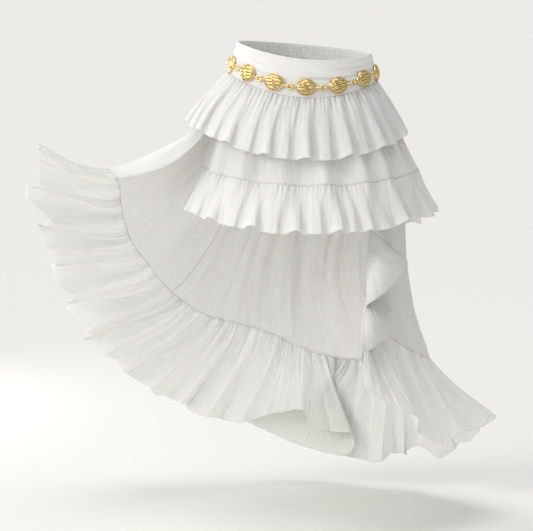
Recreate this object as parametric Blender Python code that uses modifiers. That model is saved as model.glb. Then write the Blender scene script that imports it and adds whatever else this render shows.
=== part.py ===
"""Tiered ruffle skirt with an overskirt train and a medallion chain belt, as separate sewn pieces.

The frame: origin at the centre of the waist, +X to the wearer's left, -Y to the front, +Z up.
Sizes in the tables are millimetres; every object is built in metres.
"""

import math

import bmesh
import bpy
import numpy as np
from mathutils import Matrix, Vector

MM = 0.001

# ---------------------------------------------------------------- driving sizes, millimetres
BAND_WALL = 3.6  # two plies of cotton, interfacing and the turned seam allowances
CLOTH_WALL = 1.1  # one ply with its hem turnings
SEAM_GAP = 0.7  # between pieces that a seam joins end to end
FLOUNCE_SEAM = 0.95  # the same where the flounce turns sharply off its panel
WAIST_DROP = 1.0  # from the ring of the waistband's foot to the pieces that hang from it
LAYER_STEP = 1.5  # from one ply to the next where they are caught in the waist seam
FRONT_EDGE_SEAM = 1.3  # how far the cascade's sewn edge stands off the panel's front edge

MEDALLIONS = 13
FRONT_MEDALLION = 1.8  # azimuth of the front medallion's middle, degrees
MEDALLION_SIZE = (40.0, 33.0, 7.0)  # length along the chain, height, rise of the dome
MEDALLION_BACK = 1.6  # depth of the flat back behind the dome's widest line
EYE_RADIUS = 2.9  # to the middle of the eye's wire
EYE_WIRE = 1.1
EYE_TAPER = 2.1  # how much longer the eye is on the side of its medallion
RING_RADIUS = 4.6
RING_WIRE = 1.4
LINK_GAP = 0.3  # between a ring and the eye it hangs in
RING_STEPS = 12  # round each ring and eye
WIRE_STEPS = 6  # round their wire
DOME_STEPS = (14, 8)  # round a medallion's dome, and from pole to pole
HOOK_STEPS = 18
CHAIN_SHARE = (0.74, 0.65)  # how far down the waistband, at the front and the sides
CHAIN_STANDOFF = (5.0, 7.8)  # ring middles from the waistband's face, at the front and the sides

# ---------------------------------------------------------------- fitted part, ring by ring
# Each ring: middle (x, y), half width, half depth, height at the sides, rise per mm of x,
# and how far it dips at the front and at the back.
RINGS = {
    "band_top": dict(x=3, y=0, wide=126, deep=99, z=28, tilt=-0.087, front=15, back=2),
    "band_foot": dict(x=-1, y=0, wide=139, deep=109, z=-27, tilt=-0.055, front=31, back=4),
    "tier1_hem": dict(x=-11, y=2, wide=206, deep=163, z=-127, tilt=-0.058, front=42, back=0),
    "yoke_foot": dict(x=15, y=0, wide=200, deep=157, z=-205, tilt=-0.012, front=14, back=0),
    "tier2_hem": dict(x=14, y=0, wide=237, deep=194, z=-281, tilt=-0.002, front=24, back=0),
}

# ---------------------------------------------------------------- flutes of the short tiers
# Azimuth in degrees from the front towards +X, and the depth of each flute in mm.
TIER1_FLUTES = (
    (-190, 15), (-166, 13), (-141, 14), (-117, 12), (-91, 12), (-64, 14), (-41, 15), (-18, 13),
    (2.5, 15), (26, 15), (48, 14), (73, 14), (96, 12), (121, 14), (146, 13), (170, 15),
)
TIER2_FLUTES = (
    (-121, 9), (-98, 12), (-68, 14), (-53, 13), (-28.7, 14), (-8.7, 15), (11.6, 15), (26.3, 13),
    (45, 16), (68, 14), (96, 13), (119, 9),
)
VALLEY_SHARE = 0.25  # moves the whole wave out, so that ridges rise more than valleys sink
TIER2_SPAN = (-108.0, 112.0)  # azimuths of its two finished ends

# ---------------------------------------------------------------- overskirt, section by section
# u runs along the flounce seam from the free left edge, round the back, to the right front edge.
# Each row: u, azimuth at the waist, then points (x, y, z) at the hip, half way, seam and hem.
TRAIN_COLUMNS = ("u", "azimuth", "hip", "mid", "seam", "hem")
TRAIN = (
    (0.000, -84, (-197, -38, -143), (-241, -48, -183), (-352, -32, -219), (-499, -100, -152)),
    (0.020, -88, (-209, -12, -128), (-266, -20, -160), (-375, -12, -201), (-501, -86, -156)),
    (0.045, -93, (-203, 22, -150), (-255, 14, -192), (-354, 6, -230), (-506, -65, -188)),
    (0.090, -100, (-188, 50, -160), (-268, 50, -228), (-350, 40, -275), (-512, -36, -247)),
    (0.160, -112, (-169, 78, -172), (-250, 95, -286), (-335, 95, -351), (-500, 18, -344)),
    (0.230, -124, (-140, 102, -178), (-220, 140, -337), (-303, 145, -408), (-479, 88, -441)),
    (0.300, -136, (-105, 120, -181), (-181, 170, -375), (-257, 190, -473), (-427, 155, -551)),
    (0.370, -148, (-68, 130, -183), (-138, 195, -399), (-194, 222, -522), (-346, 218, -650)),
    (0.440, -160, (-29, 136, -183), (-90, 210, -415), (-123, 243, -546), (-232, 252, -720)),
    (0.510, -172, (12, 138, -183), (-40, 218, -427), (-48, 253, -572), (-112, 262, -748)),
    (0.535, -175, (27, 138, -183), (-20, 219, -431), (-22, 254, -585), (-45, 246, -729)),
    (0.560, -178, (42, 138, -183), (-4, 219, -434), (4, 253, -597), (2, 236, -729)),
    (0.575, 180, (50, 137, -183), (6, 218, -436), (18, 252, -603), (22, 231, -750)),
    (0.590, 178, (58, 136, -183), (17, 217, -438), (31, 251, -607), (62, 229, -758)),
    (0.605, 175, (66, 135, -182), (28, 215, -439), (46, 249, -611), (102, 236, -770)),
    (0.618, 173, (73, 134, -182), (37, 213, -440), (56, 248, -613), (110, 250, -798)),
    (0.630, 171, (79, 133, -182), (45, 211, -441), (66, 246, -615), (80, 268, -818)),
    (0.643, 169, (86, 131, -182), (53, 209, -441), (76, 244, -616), (-10, 282, -797)),
    (0.656, 166, (93, 129, -182), (62, 205, -441), (86, 241, -617), (-104, 288, -757)),
    (0.670, 163, (100, 126, -182), (74, 201, -441), (97, 237, -618), (-56, 303, -773)),
    (0.690, 159, (110, 122, -182), (88, 195, -441), (113, 230, -618), (50, 300, -812)),
    (0.715, 153, (122, 115, -181), (108, 184, -441), (138, 215, -618), (122, 264, -832)),
    (0.740, 146, (134, 105, -180), (127, 167, -439), (162, 197, -616), (166, 246, -834)),
    (0.765, 139, (145, 95, -179), (146, 148, -436), (186, 176, -614), (200, 236, -814)),
    (0.785, 133, (152, 84, -178), (160, 130, -432), (203, 155, -610), (224, 224, -802)),
    (0.810, 125, (160, 70, -176), (174, 108, -426), (222, 126, -604), (276, 162, -796)),
    (0.860, 110, (168, 40, -173), (190, 58, -412), (243, 62, -591), (340, 72, -738)),
    (0.910, 92, (166, -5, -171), (191, -5, -397), (246, -12, -574), (361, -22, -683)),
    (0.950, 72, (150, -55, -171), (175, -72, -374), (218, -70, -550), (306, -108, -697)),
    (0.976, 59, (135, -80, -174), (154, -108, -357), (172, -112, -517), (240, -160, -698)),
    (0.983, 56, (130, -87, -174), (146, -116, -352), (156, -124, -504), (211, -173, -678)),
    (0.990, 52, (124, -92, -175), (138, -124, -348), (138, -136, -490), (210, -193, -651)),
    (1.000, 47, (116, -99, -176), (122, -137, -341), (112, -148, -472), (172, -220, -625)),
)
# Flutes of the flounce: where each ridge lies along u, and its depth in mm.
FLOUNCE_FLUTES = (
    (0.0, 4), (0.042, 8), (0.098, 14), (0.155, 14), (0.217, 13), (0.272, 15), (0.316, 13), (0.375, 14),
    (0.418, 10), (0.446, 12), (0.487, 9), (0.53, 7), (0.587, 8), (0.63, 2), (0.68, 3), (0.722, 8),
    (0.758, 11), (0.792, 9), (0.826, 12), (0.862, 8), (0.892, 12), (0.926, 9), (0.955, 9), (0.982, 4),
    (1.0, 2),
)
# Large soft folds of the panel itself, which run from the waist to the flounce.
PANEL_FOLDS = (
    (0.0, 0), (0.10, 4), (0.19, 7), (0.27, 6), (0.36, 9), (0.43, 7), (0.50, 9), (0.56, 8), (0.63, 8),
    (0.69, 7), (0.76, 8), (0.83, 6), (0.90, 6), (0.96, 3), (1.0, 0),
)
# The cascade: height of the sewn edge on the panel's front edge, then its free edge (x, y, z).
CASCADE = (
    (-472, (172, -220, -625)),
    (-466, (132, -232, -604)),
    (-458, (114, -218, -582)),
    (-449, (134, -184, -568)),
    (-438, (107, -204, -535)),
    (-423, (138, -200, -508)),
    (-406, (168, -160, -487)),
    (-381, (116, -180, -443)),
    (-355, (156, -178, -411)),
    (-325, (195, -116, -371)),
    (-297, (165, -122, -337)),
    (-268, (154, -122, -303)),
    (-236, (142, -114, -260)),
    (-205, (134, -112, -212)),
)
CUTS = (0.0, 0.30, 0.725, 1.0)  # u of the overskirt's panel seams
CUT_NAMES = ("left", "back", "right")


# ---------------------------------------------------------------- curves and grids
def smooth(knots, values, at):
    """Cubic through a table's rows: each slope is the chord between the neighbouring rows."""
    knots = np.asarray(knots, float)
    values = np.asarray(values, float)
    slope = np.gradient(values, knots, axis=0)
    place = np.clip(np.searchsorted(knots, at, side="right") - 1, 0, len(knots) - 2)
    span = knots[place + 1] - knots[place]
    t = (np.asarray(at, float) - knots[place]) / span
    shape = (...,) + (None,) * (values.ndim - 1)
    t, span = t[shape], span[shape]
    return (
        (2 * t**3 - 3 * t**2 + 1) * values[place]
        + (t**3 - 2 * t**2 + t) * span * slope[place]
        + (3 * t**2 - 2 * t**3) * values[place + 1]
        + (t**3 - t**2) * span * slope[place + 1]
    )


def ring_points(name, azimuth, inset=0.0):
    """Points of one of the fitted rings at these azimuths, moved towards the middle by inset."""
    ring = RINGS[name]
    turn = np.radians(azimuth)
    x = ring["x"] + (ring["wide"] - inset) * np.sin(turn)
    y = ring["y"] - (ring["deep"] - inset) * np.cos(turn)
    front = ring["front"] * np.clip(np.cos(turn), 0, 1) ** 2
    back = ring["back"] * np.clip(-np.cos(turn), 0, 1) ** 2
    z = ring["z"] + ring["tilt"] * (x - ring["x"]) - front - back
    return np.stack([x, y, z], axis=-1)


def normals(grid):
    """Unit normals of a grid whose rows run down and whose columns run with rising azimuth."""
    across = np.gradient(grid, axis=1)
    down = np.gradient(grid, axis=0)
    normal = np.cross(down, across)
    return normal / np.maximum(np.linalg.norm(normal, axis=-1, keepdims=True), 1e-9)


def fluted(grid, where, flutes, growth, pitch_share=0.07):
    """Moves a grid out at each ridge and in between them, more towards the hem.

    growth holds a share of the full depth for each row. The flanks are moved along the seam by
    pitch_share of the flute's pitch, which rounds the ridges and steepens the flanks.
    """
    ridge, depth = np.array(flutes, float).T
    phase = np.interp(where, ridge, np.arange(len(ridge))) * 2 * math.pi
    size = np.interp(where, ridge, depth)
    wave = VALLEY_SHARE + (1 - VALLEY_SHARE) * np.cos(phase)
    across = np.gradient(grid, axis=1)
    step = np.linalg.norm(across, axis=-1, keepdims=True)
    pitch = (2 * math.pi / np.gradient(phase))[:, None] * step
    out = normals(grid) * (size * wave)[:, None]
    along = across / np.maximum(step, 1e-9) * pitch * pitch_share * np.sin(2 * phase)[:, None]
    return grid + growth[:, None, None] * (out + along)


def lofted(stations, counts, trims=(0.0, 0.0)):
    """Columns of cubic curves through the stations, which are rings of points from top to foot.

    counts gives the number of steps between one station and the next, and 0 leaves that stretch
    out. trims are millimetres cut off at the first and the last point that is kept.
    """
    stations = np.array(stations, float)
    chord = np.linalg.norm(np.diff(stations, axis=0), axis=-1)
    knots = np.concatenate([np.zeros((1, chord.shape[1])), np.cumsum(chord, axis=0)])
    columns = []
    for column in range(stations.shape[1]):
        knot = knots[:, column]
        rows = [knot[i] + (knot[i + 1] - knot[i]) * k / n
                for i, n in enumerate(counts) for k in range(n + 1 if i == last(counts) else n)]
        rows[0] += trims[0]
        rows[-1] -= trims[1]
        columns.append(smooth(knot, stations[:, column], np.array(rows)))
    return np.stack(columns, axis=1)


def last(counts):
    """Index of the last stretch that is kept."""
    return max(i for i, n in enumerate(counts) if n)


def spaced(low, high, count, gap=0.0):
    """count + 1 even places from low to high, with gap left at each end."""
    return np.linspace(low + gap, high - gap, count + 1)


# ---------------------------------------------------------------- Blender objects
def clear_scene():
    for obj in list(bpy.data.objects):
        bpy.data.objects.remove(obj)


def material(name, color, roughness, metallic=0.0):
    made = bpy.data.materials.new(name)
    made.use_nodes = True
    shader = made.node_tree.nodes["Principled BSDF"]
    shader.inputs["Base Color"].default_value = (*color, 1)
    shader.inputs["Roughness"].default_value = roughness
    shader.inputs["Metallic"].default_value = metallic
    made.diffuse_color = (*color, 1)
    return made


def link(obj, finish):
    obj.data.materials.append(finish)
    bpy.data.collections["tiered_skirt"].objects.link(obj)
    return obj


def cloth(name, grid, wall, finish):
    """An open sheet from a grid of points, made a wall of even thickness by Solidify."""
    rows, columns = grid.shape[:2]
    index = np.arange(rows * columns).reshape(rows, columns)
    quads = np.stack([index[:-1, :-1], index[1:, :-1], index[1:, 1:], index[:-1, 1:]], axis=-1)
    mesh = bpy.data.meshes.new(name)
    mesh.from_pydata((grid.reshape(-1, 3) * MM).tolist(), [], quads.reshape(-1, 4).tolist())
    mesh.shade_smooth()
    obj = link(bpy.data.objects.new(name, mesh), finish)
    shell = obj.modifiers.new("Wall", "SOLIDIFY")
    shell.thickness = wall * MM
    shell.offset = 0.0
    shell.use_even_offset = True
    return obj


def evaluated_mesh(obj):
    """The object's evaluated mesh, with any caps welded."""
    graph = bpy.context.evaluated_depsgraph_get()
    mesh = bpy.data.meshes.new_from_object(obj.evaluated_get(graph))
    work = bmesh.new()
    work.from_mesh(mesh)
    bmesh.ops.remove_doubles(work, verts=work.verts, dist=1e-6)
    work.to_mesh(mesh)
    work.free()
    return mesh


# ---------------------------------------------------------------- fitted pieces
def build_waistband(finish):
    """Front band and elasticated back band, joined at the two side seams."""
    gap = math.degrees(SEAM_GAP / 2 / RINGS["band_top"]["deep"])
    for name, start in (("waistband_front", -90), ("waistband_back", 90)):
        azimuth = spaced(start, start + 180, 30, gap)
        rings = [ring_points("band_top", azimuth), ring_points("band_foot", azimuth)]
        cloth(name, lofted(rings, [2]), BAND_WALL, finish)


def tier(head, foot, azimuth, inset, rows, flutes, bell=0.25):
    """A ruffle between two rings: it leaves the seam with a bell-shaped flare and flutes out."""
    top = ring_points(head, azimuth, inset)
    low = ring_points(foot, azimuth)
    fall = np.linspace(0, 1, rows + 1)
    flare = fall * (1 + bell * (1 - fall))
    grid = top + (low - top) * fall[:, None, None]
    grid[..., :2] = top[:, :2] + (low - top)[:, :2] * flare[:, None, None]
    return fluted(grid, azimuth, flutes, fall**1.2)


def lowered(grid, drop):
    """The grid moved down, as by the gap of the seam that it hangs from."""
    return grid - np.array([0, 0, drop])


def build_tier1(finish):
    gap = math.degrees(SEAM_GAP / 2 / RINGS["band_foot"]["deep"])
    for name, start in (("tier1_ruffle_front", -90), ("tier1_ruffle_back", 90)):
        azimuth = spaced(start, start + 180, 66, gap)
        flutes = TIER1_FLUTES + tuple((a + 360, d) for a, d in TIER1_FLUTES[1:])
        inset = -(BAND_WALL - CLOTH_WALL) / 2
        grid = tier("band_foot", "tier1_hem", azimuth, inset, 3, flutes)
        cloth(name, lowered(grid, WAIST_DROP), CLOTH_WALL, finish)


def yoke_inset(azimuth):
    """The yoke is outside the overskirt on the right and inside it on the left."""
    outer = -(BAND_WALL - CLOTH_WALL) / 2 + LAYER_STEP
    share = 0.5 - 0.5 * np.cos(np.clip((azimuth + 60) / 80, 0, 1) * math.pi)
    return outer + LAYER_STEP * (1 - share)


def build_tier2(finish):
    """Yoke under the first ruffle and the second ruffle on its foot, from side to side."""
    azimuth = spaced(*TIER2_SPAN, 66)
    inset = yoke_inset(azimuth)
    top = ring_points("band_foot", azimuth, inset)
    foot = ring_points("yoke_foot", azimuth)
    fall = np.linspace(0, 1, 4)
    flare = fall * (0.86 + 0.14 * fall)
    yoke = top + (foot - top) * fall[:, None, None]
    yoke[..., :2] = top[:, :2] + (foot - top)[:, :2] * flare[:, None, None]
    cloth("tier2_yoke", lowered(yoke, WAIST_DROP), CLOTH_WALL, finish)
    azimuth = spaced(*TIER2_SPAN, 88)
    ruffle = tier("yoke_foot", "tier2_hem", azimuth, 0.0, 2, TIER2_FLUTES, bell=0.1)
    cloth("tier2_ruffle", lowered(ruffle, WAIST_DROP + SEAM_GAP), CLOTH_WALL, finish)


# ---------------------------------------------------------------- overskirt
def train_inset(azimuth):
    """How far inside the waistband's middle the overskirt hangs: one ply in on the left,
    where only the first ruffle covers it, and two plies in on the right, inside the yoke."""
    outer = -(BAND_WALL - CLOTH_WALL) / 2 + LAYER_STEP
    share = 0.5 - 0.5 * np.cos(np.clip((azimuth - 200) / 60, 0, 1) * math.pi)
    return outer + LAYER_STEP * (1 - share)


def train_stations(u):
    """Waist, hip, half-way, seam and hem points of the overskirt at these places along it."""
    row_u = [row[0] for row in TRAIN]
    turned = [row[1] if row[1] > 0 else row[1] + 360 for row in TRAIN]
    azimuth = smooth(row_u, turned, u)
    waist = lowered(ring_points("band_foot", azimuth, train_inset(azimuth)), WAIST_DROP)
    return [waist] + [smooth(row_u, [row[i] for row in TRAIN], u) for i in range(2, 6)]


def folded_panel(grid, u):
    """Adds the soft folds, which start below the waist, are widest half way and fade at the seam."""
    fall = np.linspace(0, 1, len(grid))
    growth = np.sin(math.pi * np.clip((fall - 0.1) / 0.9, 0, 1)) ** 1.5
    return fluted(grid[:, ::-1], u[::-1], PANEL_FOLDS, growth, 0.0)[:, ::-1]


def outline_u(count):
    """Places along the overskirt, closer together at the turned left edge and at the deep fold."""
    even = np.linspace(0, 1, 400)
    dense = 1 + 3.0 * (even < 0.06) + 1.3 * ((even > 0.50) & (even < 0.70))
    way = np.concatenate([[0], np.cumsum(dense[1:])])
    return np.interp(np.linspace(0, way[-1], count + 1), way, even)


def with_cuts(count):
    """Places along the overskirt that include every cut, and the cuts' indices."""
    places = outline_u(count)
    for cut in CUTS[1:-1]:
        places = np.sort(np.append(places[np.abs(places - cut) > 0.004], cut))
    return places, [int(np.searchsorted(places, cut)) for cut in CUTS]


def parted(grid, low, high):
    """The columns from low to high, drawn in at cut ends so that the next piece has its gap."""
    piece = grid[:, low:high + 1].copy()
    for end, inner, is_cut in ((0, 1, low > 0), (-1, -2, high < grid.shape[1] - 1)):
        if is_cut:
            step = piece[:, inner] - piece[:, end]
            step /= np.linalg.norm(step, axis=-1, keepdims=True)
            piece[:, end] += step * SEAM_GAP / 2
    return piece


def panel_grid(u, counts=(2, 3, 2, 0)):
    grid = lofted(train_stations(u), counts, (0.0, FLOUNCE_SEAM / 2))
    return folded_panel(grid, u)


def flounce_grid(u, rows=3):
    grid = lofted(train_stations(u), (0, 0, 0, rows), (FLOUNCE_SEAM / 2, 0.0))
    fall = np.linspace(0, 1, rows + 1)
    return fluted(grid[:, ::-1], u[::-1], FLOUNCE_FLUTES, fall**1.2, 0.05)[:, ::-1]


def build_overskirt(finish):
    """Three panels, each with its length of flounce, sewn at CUTS."""
    for piece, shape, count in (("panel", panel_grid, 56), ("flounce", flounce_grid, 120)):
        places, splits = with_cuts(count)
        grid = shape(places)
        for name, low, high in zip(CUT_NAMES, splits, splits[1:]):
            cloth(f"train_{piece}_{name}", parted(grid, low, high), CLOTH_WALL, finish)


def front_edge(height):
    """Points of the panel's right front edge at these heights, and the way out past the edge."""
    edge = panel_grid(np.array([0.985, 1.0]), (8, 12, 12, 0))
    back, line = edge[:, 0], edge[:, 1]
    out = line - back
    out /= np.linalg.norm(out, axis=-1, keepdims=True)
    order = np.argsort(line[:, 2])
    point = np.stack([np.interp(height, line[order, 2], line[order, i]) for i in range(3)], -1)
    away = np.stack([np.interp(height, line[order, 2], out[order, i]) for i in range(3)], -1)
    return point, away


def cascade_grid(places, rows, standoff):
    """A ruled strip from the panel's front edge to the free edge, bowed a little on the way."""
    knots = np.linspace(0, 1, len(CASCADE))
    height = smooth(knots, [row[0] for row in CASCADE], places)
    free = smooth(knots, [row[1] for row in CASCADE], places)
    height = np.minimum(height, CASCADE[-1][0])
    point, away = front_edge(height)
    sewn = point + away * standoff
    share = np.linspace(0, 1, rows + 1)[:, None, None]
    droop = np.linalg.norm(free - sewn, axis=-1)[:, None] * np.array([0, -0.10, 0.05])
    grid = sewn + (free - sewn) * share
    return grid + droop * 4 * share * (1 - share)


def build_cascade(finish):
    lift = SEAM_GAP * 1.5 / 400
    grid = cascade_grid(np.linspace(lift, 1, 57), 3, FRONT_EDGE_SEAM)
    cloth("front_edge_cascade", grid, CLOTH_WALL, finish)


# ---------------------------------------------------------------- belt
def belt_line(azimuth):
    """The line of the ring middles, low on the waistband and clear of its outer face.

    It lies lower at the front than at the sides, and closer there, as the curve is flatter.
    """
    side = np.sin(np.radians(azimuth))[:, None] ** 2
    clear = CHAIN_STANDOFF[0] + (CHAIN_STANDOFF[1] - CHAIN_STANDOFF[0]) * side[:, 0]
    out = -(BAND_WALL / 2 + clear)
    top = ring_points("band_top", azimuth, out)
    foot = ring_points("band_foot", azimuth, out)
    return top + (foot - top) * (CHAIN_SHARE[0] + (CHAIN_SHARE[1] - CHAIN_SHARE[0]) * side)


def chain_corners():
    """Azimuths of the ring middles, moved along the line until all chords are equal."""
    azimuth = np.linspace(FRONT_MEDALLION - 180, FRONT_MEDALLION + 180, 1441)
    line = belt_line(azimuth)
    way = np.concatenate([[0], np.cumsum(np.linalg.norm(np.diff(line, axis=0), axis=1))])
    share = np.full(MEDALLIONS, 1 / MEDALLIONS)
    for _ in range(12):
        place = np.concatenate([[0], np.cumsum(share)])[:-1] * way[-1]
        middle = np.interp(FRONT_MEDALLION, azimuth, way)
        nearest = place[MEDALLIONS // 2] + share[MEDALLIONS // 2] * way[-1] / 2
        turn = np.interp((place + middle - nearest) % way[-1], way, azimuth)
        corner = belt_line(turn)
        chord = np.linalg.norm(np.roll(corner, -1, axis=0) - corner, axis=1)
        share = share * chord.mean() / chord
        share = share / share.sum()
    return turn, corner, chord.mean()


def upright(azimuth):
    """Unit vector up the slope of the waistband at this azimuth."""
    top, foot = (ring_points(name, np.array([azimuth]))[0] for name in ("band_top", "band_foot"))
    return Vector(top - foot).normalized()


def placed(obj, middle, along, up):
    """Puts an object built in the chain's axes (x along, y up, z outward) at its place."""
    up = (up - along * up.dot(along)).normalized()
    turn = Matrix((along, up, along.cross(up))).transposed().to_4x4()
    obj.matrix_world = Matrix.Translation(middle * MM) @ turn
    return obj


def torus(name, radius, wire):
    """A closed wire ring lying in the plane of x and y, in no collection yet."""
    bpy.ops.mesh.primitive_torus_add(
        major_segments=RING_STEPS, minor_segments=WIRE_STEPS,
        major_radius=radius * MM, minor_radius=wire * MM,
    )
    ring = bpy.context.object
    for holder in list(ring.users_collection):
        holder.objects.unlink(ring)
    ring.name = name
    ring.data.shade_smooth()
    return ring


def medallion_mesh(chord):
    """An oval dome with a flat back and a tapered eye at each end, as one closed mesh.

    The eyes stand edge-on, so that the rings between them lie flat.
    """
    length, height, rise = (value * MM for value in MEDALLION_SIZE)
    dome = bmesh.new()
    bmesh.ops.create_uvsphere(dome, u_segments=DOME_STEPS[0], v_segments=DOME_STEPS[1], radius=1.0)
    bmesh.ops.bisect_plane(
        dome, geom=dome.verts[:] + dome.edges[:] + dome.faces[:],
        plane_co=(0, 0, -MEDALLION_BACK * MM / rise), plane_no=(0, 0, -1), clear_outer=True,
    )
    rim = [edge for edge in dome.edges if edge.is_boundary]
    bmesh.ops.contextual_create(dome, geom=rim)
    scale = Matrix.Diagonal((length / 2, height / 2, rise, 1))
    bmesh.ops.transform(dome, matrix=scale, verts=dome.verts)
    bmesh.ops.recalc_face_normals(dome, faces=dome.faces)
    body = bpy.data.meshes.new("medallion_dome")
    dome.to_mesh(body)
    dome.free()
    base = bpy.data.objects.new("medallion_tool", body)
    bpy.data.collections["tools"].objects.link(base)
    reach = (chord / 2 - RING_RADIUS + RING_WIRE + LINK_GAP - (EYE_RADIUS - EYE_WIRE)) * MM
    for side in (-1, 1):
        eye = torus("eye_tool", EYE_RADIUS, EYE_WIRE)
        bpy.data.collections["tools"].objects.link(eye)
        for vertex in eye.data.vertices:
            if vertex.co.x < 0:
                vertex.co.x *= EYE_TAPER
        eye.matrix_world = (
            Matrix.Translation((side * reach, 0, 0))
            @ Matrix.Rotation(0 if side > 0 else math.pi, 4, "Z")
            @ Matrix.Rotation(math.pi / 2, 4, "X")
        )
        bpy.context.view_layer.update()
        join = base.modifiers.new("Eye", "BOOLEAN")
        join.operation = "UNION"
        join.object = eye
    mesh = evaluated_mesh(base)
    for tool in [base] + [m.object for m in base.modifiers]:
        bpy.data.objects.remove(tool)
    mesh.name = "medallion"
    return mesh


def hook_curve(finish):
    """A plain open hook: a ring with a mouth that faces the waistband, wide enough for an eye."""
    mouth = math.asin((EYE_WIRE + RING_WIRE + 0.2) / RING_RADIUS)
    curve = bpy.data.curves.new("belt_hook", "CURVE")
    curve.dimensions = "3D"
    curve.bevel_depth = RING_WIRE * MM
    curve.bevel_resolution = 1
    curve.use_fill_caps = True
    line = curve.splines.new("POLY")
    line.points.add(HOOK_STEPS)
    for step, spot in enumerate(line.points):
        turn = 1.5 * math.pi + mouth + (2 * math.pi - 2 * mouth) * step / HOOK_STEPS
        spot.co = (RING_RADIUS * MM * math.cos(turn), RING_RADIUS * MM * math.sin(turn), 0, 1)
    return link(bpy.data.objects.new("belt_hook", curve), finish)


def build_belt(finish):
    """Thirteen medallions in a closed chain, a ring between each two and a hook behind."""
    azimuth, corner, chord = chain_corners()
    mesh = medallion_mesh(chord)
    mesh.materials.append(finish)
    chain = bpy.data.collections["tiered_skirt"]
    corners = [Vector(point) for point in corner]
    for number in range(MEDALLIONS):
        here, ahead = corners[number], corners[(number + 1) % MEDALLIONS]
        way = (ahead - here).normalized()
        middle = (here + ahead) / 2
        obj = bpy.data.objects.new(f"medallion_{number + 1:02d}", mesh)
        chain.objects.link(obj)
        placed(obj, middle, way, upright(math.degrees(math.atan2(middle.x, -middle.y))))
        before = (here - corners[number - 1]).normalized()
        along = (way + before).normalized()
        up = upright(azimuth[number])
        out = along.cross(up - along * up.dot(along)).normalized()
        half = way.angle(before) / 2
        if number == 0:
            ring = hook_curve(finish)
        else:
            ring = link(torus(f"belt_ring_{number:02d}", RING_RADIUS, RING_WIRE), finish)
        placed(ring, here - out * RING_RADIUS * math.tan(half), along, up)


# ---------------------------------------------------------------- main
def main():
    clear_scene()
    for name in ("tiered_skirt", "tools"):
        bpy.context.scene.collection.children.link(bpy.data.collections.new(name))
    white = material("white_cotton", (0.86, 0.86, 0.83), 0.9)
    gold = material("gilt_brass", (0.75, 0.53, 0.22), 0.35, 1.0)
    build_waistband(white)
    build_tier1(white)
    build_tier2(white)
    build_overskirt(white)
    build_cascade(white)
    build_belt(gold)


main()
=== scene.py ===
"""Looks of the tiered ruffle skirt: its cotton voile pieces, its gilt chain belt and a plain studio.

Lengths in the tables are millimetres; meshes are made in metres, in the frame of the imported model:
origin at the centre of the waist, +X to the wearer's left, -Y to the front, +Z up.
"""

import logging
import math
from dataclasses import dataclass
from enum import Enum

import bmesh
import bpy
import numpy as np
from mathutils import Matrix, Vector


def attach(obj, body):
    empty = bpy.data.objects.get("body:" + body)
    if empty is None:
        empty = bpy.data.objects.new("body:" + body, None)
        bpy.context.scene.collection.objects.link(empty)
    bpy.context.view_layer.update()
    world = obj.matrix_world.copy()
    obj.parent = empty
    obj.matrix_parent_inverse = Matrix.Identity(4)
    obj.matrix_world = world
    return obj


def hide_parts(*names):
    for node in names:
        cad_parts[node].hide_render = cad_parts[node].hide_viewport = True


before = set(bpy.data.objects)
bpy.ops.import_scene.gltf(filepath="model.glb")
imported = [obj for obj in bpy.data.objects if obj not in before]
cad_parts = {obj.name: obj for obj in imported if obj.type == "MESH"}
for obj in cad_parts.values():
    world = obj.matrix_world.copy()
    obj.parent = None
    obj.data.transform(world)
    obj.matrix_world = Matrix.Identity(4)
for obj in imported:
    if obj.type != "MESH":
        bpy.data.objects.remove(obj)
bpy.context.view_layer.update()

LOG = logging.getLogger("skirt")
Array = np.ndarray
MM = 0.001
TAU = 2.0 * math.pi
STITCH_WIDTH = 0.9  # half width of the groove that a row of stitches draws in
SEAM_BITE = 1.2  # mm below a seam at which its stitches let the gathers rise


# ---------------------------------------------------------------- mathematics of cloth surfaces
def unit(vectors: Array) -> Array:
    """Scales each vector along the last axis to length one.

    Args:
        vectors: array whose last axis holds x, y and z.

    Returns:
        The same directions with length one.
    """
    return vectors / np.maximum(np.linalg.norm(vectors, axis=-1, keepdims=True), 1e-9)


def hermite(t: Array, span: Array, ends: tuple[Array, Array], slopes: tuple[Array, Array]) -> Array:
    """Cubic Hermite curve between two points with given slopes.

    Args:
        t: share of the span, 0 to 1.
        span: length of the span in the parameter that the slopes are taken by.
        ends: first and last point.
        slopes: slope at each.

    Returns:
        The points at those shares.
    """
    return (
        (2 * t**3 - 3 * t**2 + 1) * ends[0]
        + (t**3 - 2 * t**2 + t) * span * slopes[0]
        + (3 * t**2 - 2 * t**3) * ends[1]
        + (t**3 - t**2) * span * slopes[1]
    )


def smooth(knots: Array, values: Array, at: Array) -> Array:
    """Hermite curve through a table's rows, each slope the chord between the neighbouring rows.

    Args:
        knots: rising parameter of each row.
        values: value of each row, a number or a vector.
        at: parameters to read the curve at.

    Returns:
        The values at those parameters.
    """
    knots, values, at = (np.asarray(item, float) for item in (knots, values, at))
    slope = np.gradient(values, knots, axis=0)
    place = np.clip(np.searchsorted(knots, at, side="right") - 1, 0, len(knots) - 2)
    span = knots[place + 1] - knots[place]
    t = (at - knots[place]) / span
    shape = (...,) + (None,) * (values.ndim - 1)
    t, span = t[shape], span[shape]
    return hermite(t, span, (values[place], values[place + 1]), (slope[place], slope[place + 1]))


def ease(x: Array) -> Array:
    """Smooth step from 0 to 1 as x goes from 0 to 1."""
    x = np.clip(x, 0, 1)
    return x * x * (3 - 2 * x)


def ridge(distance: Array, half_width: float) -> Array:
    """A smooth ridge of height one: exp(-(distance / half width)^2)."""
    return np.exp(-((distance / half_width) ** 2))


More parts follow.
